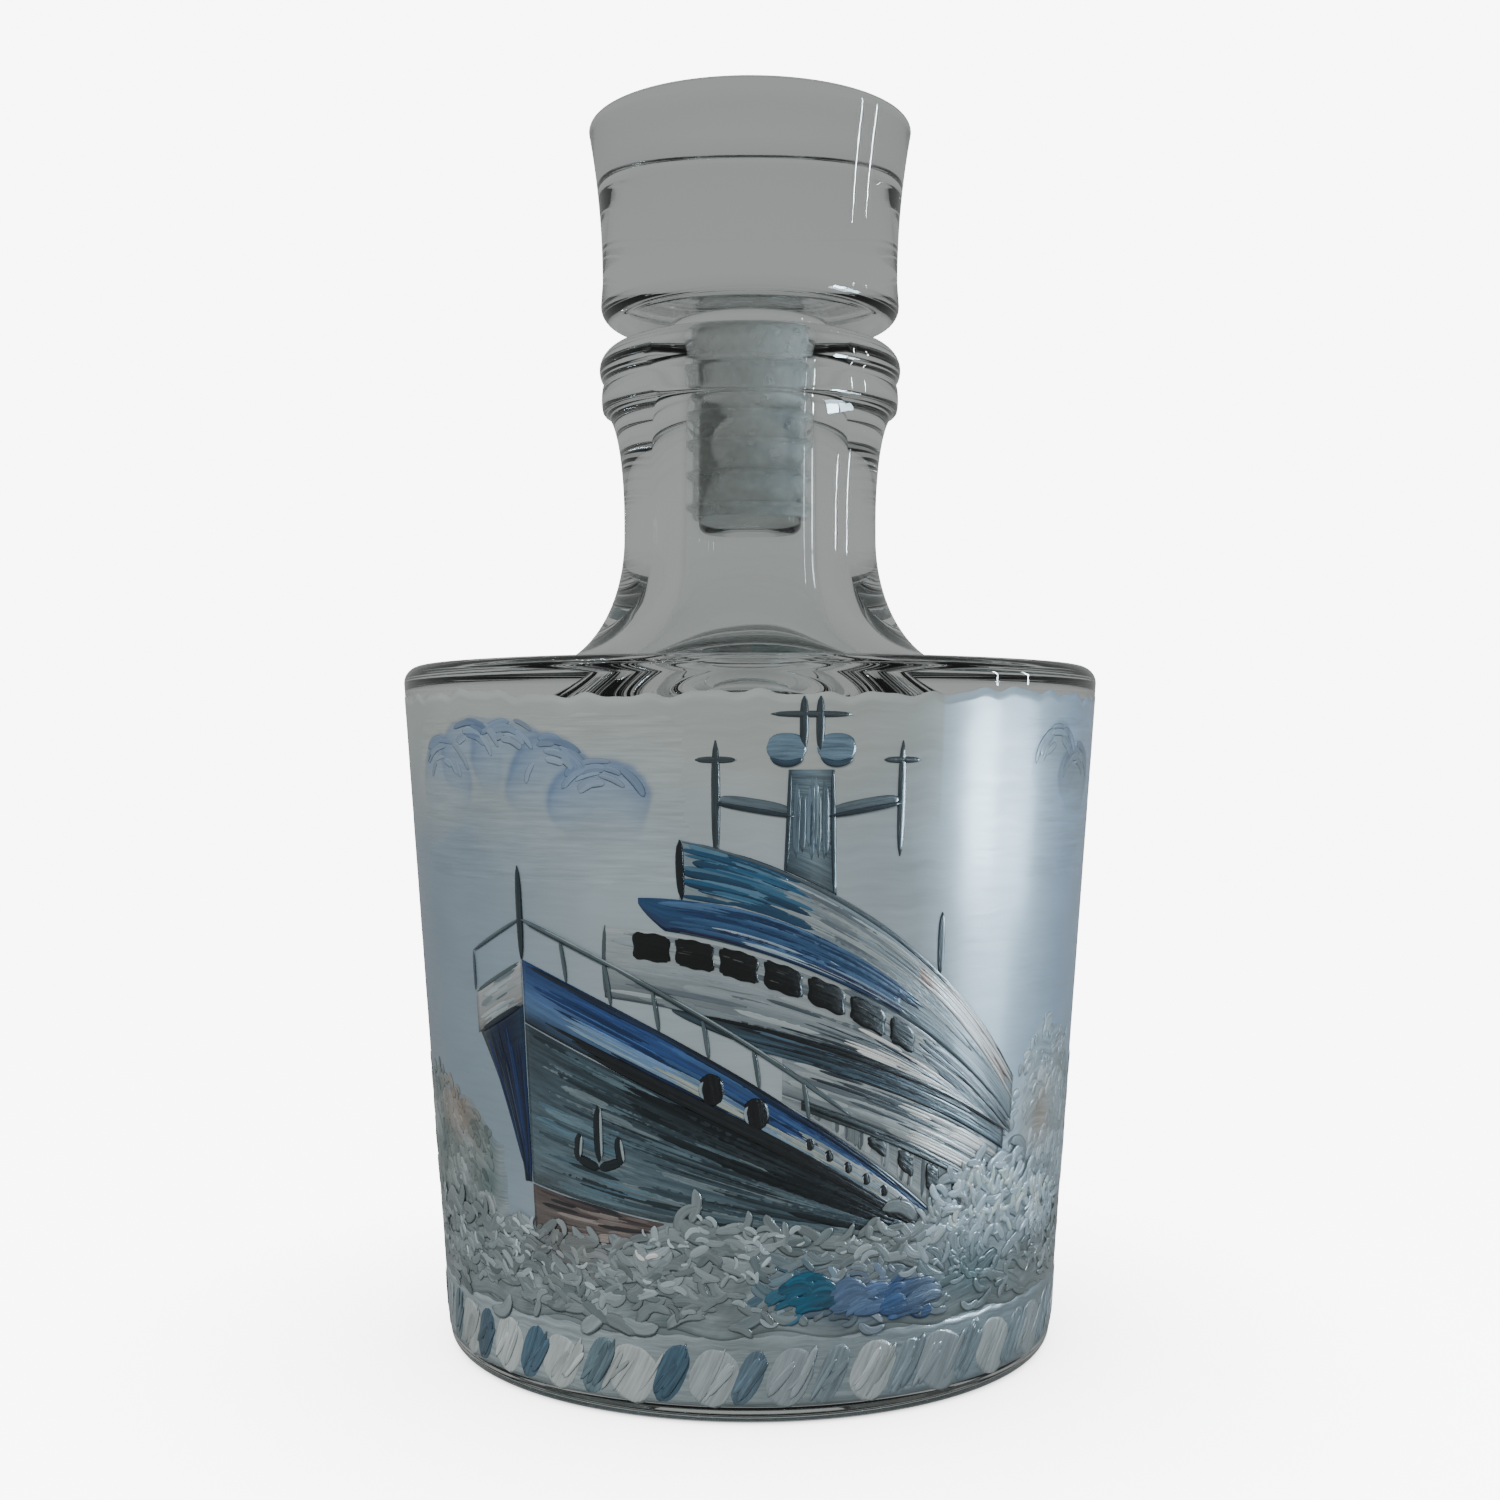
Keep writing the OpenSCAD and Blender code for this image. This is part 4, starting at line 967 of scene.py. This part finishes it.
anchor_lines = ticks((-25, 50, -25, 41), (-29, 41.4, -25, 40), (-21, 41.4, -25, 40),
                     (-29, 40.9, -28.5, 45.4), (-21, 40.9, -21.5, 45.4))
lit_lines = ticks((-24.4, 49.6, -24.4, 41.6), (-28.4, 41.6, -28, 45), (-20.5, 41.4, -21, 45))
coat("anchor_paint", "anchor", "dark_line_paint", rigger,
     strokes(*anchor_lines, 1.7, 0.24, 0.2, shade(16, 22, 26), 8, seed=160),
     strokes(*lit_lines, 0.6, 0.38, 0.14, shade(128, 140, 144), 8, 5, seed=161))
band_low = raised(UPPER_DECK, -SHADE_H)
coat("deck_bands_paint", "deck_bands", "dark_line_paint", rigger,
     between(band_low, UPPER_DECK, -12, 47, 2, [(22, 32, 38), (50, 70, 84), (34, 48, 58), (16, 22, 28)], 80,
             8, 162, 14),
     between(raised(LOWER_DECK, -1.4), LOWER_DECK, 8, 45, 2, [(30, 38, 42), (20, 26, 30)], 50, 4, seed=163),
     dragged(band_low, UPPER_DECK, 46, (8, 24), (0.4, 1.0), 0.32, 0.12, 164, (-4, 47), 1,
             (14, 20, 26), (34, 52, 66), (54, 78, 96), (20, 26, 32)),
     dragged(0.1 * band_low + 0.9 * UPPER_DECK, UPPER_DECK, 10, (14, 34), (0.5, 0.9), 0.36, 0.16, 165,
             (-12, 47), 1, (12, 14, 16), (16, 20, 24)),
     dragged(raised(LOWER_DECK, -1.4), LOWER_DECK, 14, (7, 18), (0.4, 0.8), 0.32, 0.14, 166, (8, 45), 1,
             (14, 18, 22), (40, 52, 56)))
coat("roof_stripe_paint", "roof_stripe", "cobalt_paint", cobalt,
     between(raised(BRIM, GAP), ROOF, -17, 24, 2, [(32, 48, 84), (28, 60, 98), (20, 46, 80)], 70, 8, 167, 4),
     dragged(raised(BRIM, GAP), ROOF, 44, (8, 24), (0.5, 1.3), 0.32, 0.12, 168, (-14, 28), 1,
             (22, 48, 84), (18, 36, 72), (52, 84, 118), (34, 66, 102)),
     dragged(raised(BRIM, GAP), 0.6 * BRIM + 0.4 * ROOF, 9, (8, 20), (0.3, 0.6), 0.36, 0.14, 169, (-15, 28),
             1, (130, 146, 156), (104, 124, 142), (30, 30, 62)))

RAIL = np.array([60.3, -0.64, -0.004])
far_rail = np.array([height(RAIL, STEM_U) - FAR_SLOPE * STEM_U, FAR_SLOPE, 0])
RAIL_END, POSTS, STAFF_H = 16, 6, 8.5
post_u = STEM_U + (RAIL_END - STEM_U) * np.arange(1, POSTS + 1) / (POSTS + 1)
post_middle = (height(RAIL, post_u) + height(SHEER, post_u)) / 2
posts = (pairs(post_u, height(RAIL, post_u)), pairs(post_u + 0.7, post_middle),
         pairs(post_u + 1, height(SHEER, post_u + 1)))
staff = ticks((STEM_U, height(SHEER, STEM_U), STEM_U, height(RAIL, STEM_U) + STAFF_H))
far_post = ticks((far_end, height(far_sheer, far_end), far_end, height(far_rail, far_end)))
line_grey, line_dark, line_light = shade(66, 80, 86), shade(30, 40, 46), shade(120, 132, 136)
coat("railings_paint", "railings", "dark_line_paint", rigger,
     strokes(*lane(RAIL, RAIL, [0, 0, 0], [STEM_U, -22, -4], [-20, -2, RAIL_END]), 0.85, 0.35, 0.24,
             line_grey, 20, seed=170),
     strokes(*lane(raised(RAIL, 0.3), raised(RAIL, 0.3), [0, 0], [-34, -12], [-16, 6]), 0.35, 0.5, 0.12,
             line_light, 16, 4, seed=171),
     strokes(*lane(raised(RAIL, -0.35), raised(RAIL, -0.35), [0, 0], [-37, -18], [-22, 2]), 0.35, 0.48,
             0.12, line_dark, 16, 4, seed=172),
     strokes(*lane(far_rail, far_rail, [0], [far_end], [STEM_U]), 0.6, 0.35, 0.2, line_grey, 14, seed=173),
     strokes(*posts, 0.75, 0.35, 0.22, line_grey, 10, seed=174),
     strokes(*far_post, 0.6, 0.35, 0.2, line_grey, 8, seed=175),
     strokes(*staff, 1.3, 0.35, 0.26, line_dark, 14, seed=176))

WHIP_TOP, SPAR_Z, AFT_U, AFT_H = 114.3, 111.5, 31, 10
arm_ends = (MAST_U - ARM_REACH, MAST_U + ARM_REACH)
mast_whips = ticks(*[(MAST_U + 1.2 * s, DOME_Z, MAST_U + 1.2 * s, WHIP_TOP) for s in (-1, 1)],
                   *[(u, ARM_Z - 9, u, ARM_Z + 9) for u in arm_ends],
                   (AFT_U, height(BRIDGE_TOP, AFT_U), AFT_U, height(BRIDGE_TOP, AFT_U) + AFT_H))
spars = ticks((MAST_U - 6, SPAR_Z, MAST_U + 6, SPAR_Z),
              *[(u - 3, ARM_Z + 6, u + 3, ARM_Z + 6) for u in arm_ends])
coat("aerials_paint", "aerials", "dark_line_paint", rigger,
     strokes(*mast_whips, 1.3, 0.16, 0.22, shade(40, 50, 56), 12, seed=180),
     strokes(*spars, 1.0, 0.16, 0.2, shade(46, 56, 62), 10, seed=181))

# ---- Foam --------------------------------------------------------------------------------------
# The water along the hull, laid on last and thickest with a small round brush: dark blue-green and
# clear blue in the hollows, then curled dabs of grey and white where the bow wave and wake break.
swirl_u, swirl_z = 9 + 9.5 * np.arange(3), 21 - 1.2 * np.arange(3)


def water_tint(u, z):
    """The broken water: grey-green with paler crests, brown under the bow, blue where the swirls are,
    dark green in the hollow astern of them and white in the wake."""
    tint = blend(0.5 + 0.3 * drift(u, z, 2.4) + 0.25 * drift(u + 40, z, 0.9), (0, 0.35, 0.65, 1),
                 ((74, 88, 93), (98, 108, 111), (112, 122, 126), (142, 152, 157)))
    tint = towards(tint, 0.5 * spot(u, z, -31, 26, 9, 3), 88, 82, 80)
    froth = np.clip((u - 26) / 14, 0, 1) * np.clip((z - 21) / 9, 0, 1) * (0.5 + 0.5 * drift(u, z, 1.3))
    tint = towards(tint, froth, 156, 170, 180)
    tint = towards(tint, 0.92 * spot(u, z, 9, 21.5, 5, 3.6), 12, 72, 100)
    tint = towards(tint, 0.94 * spot(u, z, 23, 19.5, 8.5, 3.4), 10, 58, 116)
    return towards(tint, 0.85 * spot(u, z, 41, 20.5, 7, 5), 52, 80, 88)


def crest(u):
    """How high the broken water reaches: below the red of the bow, up to the hull's foot, then
    swelling into the wake."""
    rise = np.clip((u + 20) / 7, 0, 1)
    wake = 9.5 * np.sin(np.clip((u - 24) / 42, 0, 1) * math.pi)
    step = 4.2 * rise ** 2 * (3 - 2 * rise)
    return 29.2 + step - 0.08 * np.clip(u + 13, 0, 40) + wake + 0.5 * np.sin(u / 1.7)


rng = np.random.default_rng(190)
n = 70
pick = rng.integers(0, 3, n)
a, q = rng.uniform(0, TURN, n), rng.random(n) ** 0.5
u, z = swirl_u[pick] + 4.2 * q * np.cos(a), swirl_z[pick] + 2.4 * q * np.sin(a)
coat("blue_swirls_paint", "blue_swirls", "cobalt_paint", cobalt,
     strokes(pairs(u - 2.6, z - 0.5), pairs(u, z + rng.uniform(-1, 3, n)),
             pairs(u + 2.6, z + rng.uniform(-0.5, 1, n)), rng.uniform(1.2, 2.4, n), 0.56,
             rng.uniform(0.06, 0.16, n),
             tinted(rng, water_tint, swirl_u[pick] + (u - swirl_u[pick]) * 0.4, swirl_z[pick] + 0.5, 0.7,
                    1.25), seed=191))

foam_paint = oil_paint("foam_paint", 0.16, 1.8, 0.35, 0.6)


def broken_water(count, seed, low, lift, size, thick, light, span=(-72, 72), slim=0.3, steep=0.4):
    """Curled strokes scattered between a line and the crest, worked wet into the water so that each
    takes its colour, made lighter or darker by the range in light. steep stands them up."""
    rng = np.random.default_rng(seed)
    u = rng.uniform(*span, count)
    reach = rng.uniform(*size, count)
    z = low + (crest(u) - low - 0.5 * reach * min(steep, 1)) * rng.random(count) ** 0.85
    run = rng.normal(steep, 0.5, count)
    way = pairs(np.cos(run) * rng.choice([-1, 1], count), np.sin(run))
    across = pairs(-way[:, 1], way[:, 0])
    hook = rng.uniform(-0.6, 0.6, count)[:, None]
    start = pairs(u, z)
    ends = start + reach[:, None] * way
    return strokes(start, (start + ends) / 2 + across * hook * reach[:, None], ends,
                   rng.uniform(0.7, 1.3, count) * slim * reach + 0.25, lift, rng.uniform(*thick, count),
                   tinted(rng, water_tint, u, z, *light), steps=8, hairs=6, seed=seed)


coat("foam_paint", "foam", "foam_paint", foam_paint,
     patch(-74, 74, lambda u: 14.5 + 0.8 * np.sin(u / 3), crest, 330, 26, 0.10, 0.32, water_tint, sea_tint),
     broken_water(330, 200, 15.5, 0.43, (3, 7), (0.03, 0.07), (0.8, 1.15), slim=0.3, steep=0.15),
     broken_water(330, 201, 15.5, 0.45, (2, 5), (0.05, 0.1), (0.75, 1.3), steep=0.35),
     broken_water(150, 203, 18, 0.46, (1.4, 3.6), (0.06, 0.15), (1.2, 1.7), steep=0.5),
     broken_water(60, 204, 20, 0.48, (1, 2.4), (0.1, 0.2), (1.9, 2.6), span=(-60, 40), slim=0.24, steep=0.6),
     broken_water(150, 206, 23, 0.48, (1.8, 4.2), (0.1, 0.24), (1.15, 1.8), span=(30, 66), steep=1.1))

# ---- Table, room and camera ---------------------------------------------------------------------
# A pale sweep that rises all round into the walls. What the glass gathers from it is a plain grey
# room, lighter behind the bottle than in front, with a low wide window of four panes to the right
# and three narrow strips of light beside the wall.
SWEEP_R, SWEEP_CURVE, SWEEP_H = 1.4, 0.8, 2.6
sweep_line = np.concatenate([
    [[0, 0], [300, 0]],
    arc((SWEEP_R * 1000, SWEEP_CURVE * 1000), (SWEEP_CURVE * 1000, SWEEP_CURVE * 1000), -90, 0, 30),
    [[(SWEEP_R + SWEEP_CURVE) * 1000, SWEEP_H * 1000], [0, SWEEP_H * 1000]]])
sweep = turned("sweep", sweep_line, 96)
paper, nodes, links, shader = material("pale_paper")
shader.inputs["Base Color"].default_value = (0.86, 0.86, 0.85, 1)
shader.inputs["Roughness"].default_value = 0.9
shader.inputs["Emission Color"].default_value = (1, 1, 1, 1)
# For the camera the paper glows nearly white, and ambient occlusion dims that glow close to the bottle: a
# painted contact shadow, not one cast by the lamps.
painted_contact_shadow = add(nodes, "ShaderNodeAmbientOcclusion", Distance=0.07)
paper_glow_and_painted_shadow = spread_over(nodes, 0, 1, 0.9, 8.0)
links.new(painted_contact_shadow.outputs["AO"], paper_glow_and_painted_shadow.inputs["Value"])
links.new(paper_glow_and_painted_shadow.outputs["Result"], shader.inputs["Emission Strength"])
room = nodes.new("ShaderNodeEmission")
place = nodes.new("ShaderNodeTexCoord")
parts = nodes.new("ShaderNodeSeparateXYZ")
links.new(place.outputs["Object"], parts.inputs["Vector"])
levels = []
for axis, (low, high), (dim, bright) in (("Y", (-0.3, 0.8), (0.26, 0.38)), ("Z", (0.5, 1.8), (1.0, 0.9))):
    level = spread_over(nodes, low, high, dim, bright)
    links.new(parts.outputs[axis], level.inputs["Value"])
    levels.append(level.outputs["Result"])
both = nodes.new("ShaderNodeMath")
both.operation = "MULTIPLY"
links.new(levels[0], both.inputs[0])
links.new(levels[1], both.inputs[1])
links.new(both.outputs[0], room.inputs["Strength"])
room.inputs["Color"].default_value = (0.96, 1.0, 0.98, 1)
path = nodes.new("ShaderNodeLightPath")
either = nodes.new("ShaderNodeMixShader")
links.new(path.outputs["Is Camera Ray"], either.inputs["Fac"])
links.new(room.outputs["Emission"], either.inputs[1])
links.new(shader.outputs["BSDF"], either.inputs[2])
links.new(either.outputs["Shader"], nodes["Material Output"].inputs["Surface"])
sweep.data.materials.append(paper)


def light(name, place, aim, size, power, colour=(1, 1, 1)):
    """A rectangular soft light at a place in metres. It is tipped from facing straight down until it
    points along its line to the aim."""
    lamp = bpy.data.lights.new(name, "AREA")
    lamp.shape = "RECTANGLE"
    lamp.size, lamp.size_y = size
    lamp.energy = power
    lamp.color = colour
    obj = bpy.data.objects.new(name, lamp)
    obj.location = place
    ray = np.array(aim, float) - np.array(place, float)
    tip = math.acos(-ray[2] / np.linalg.norm(ray))
    obj.rotation_euler = (tip, 0, math.atan2(ray[1], ray[0]) - math.pi / 2)
    obj.visible_camera = False
    bpy.context.scene.collection.objects.link(obj)
    return obj


key = light("key", (-0.45, -1.1, 0.95), (0, 0, 0.1), (0.8, 0.6), 13, (1.0, 0.99, 0.97))
key.visible_transmission = False
key.visible_glossy = False
WINDOW_X, WINDOW_H, PANE_W, PANE_TALL, BAR = 1.2, 0.308, 0.28, 0.014, 0.004
for column in (-0.5, 0.5):
    for row in (-0.5, 0.5):
        light("window", (WINDOW_X, column * (PANE_W + 6 * BAR), WINDOW_H + row * (PANE_TALL + BAR)),
              (0, 0, 0.21), (PANE_TALL, PANE_W), 0.7, (0.82, 0.93, 1.0))
for side_y, rise, wide, power in ((-0.082, 0.074, 0.05, 0.8), (-0.02, 0.074, 0.06, 0.32),
                                  (-0.06, 0.026, 0.09, 0.25)):
    strip = light("strip", (0.24, side_y, rise), (0.04, -0.04, rise + 0.02), (wide, 0.05), power,
                  (0.62, 0.84, 1.0))
    strip.visible_diffuse = False
    strip.visible_transmission = False

EYE_BACK, EYE_H = 0.349, 0.106
camera = bpy.data.cameras.new("camera")
camera.lens = 45.12
camera.sensor_width = 36
view = bpy.data.objects.new("camera", camera)
view.location = (0, -EYE_BACK, EYE_H)
view.rotation_euler = (math.pi / 2, 0, 0)
bpy.context.scene.collection.objects.link(view)
bpy.context.scene.camera = view

world = bpy.data.worlds.new("room")
world.use_nodes = True
world.node_tree.nodes["Background"].inputs["Color"].default_value = (0.2, 0.2, 0.2, 1)
bpy.context.scene.world = world
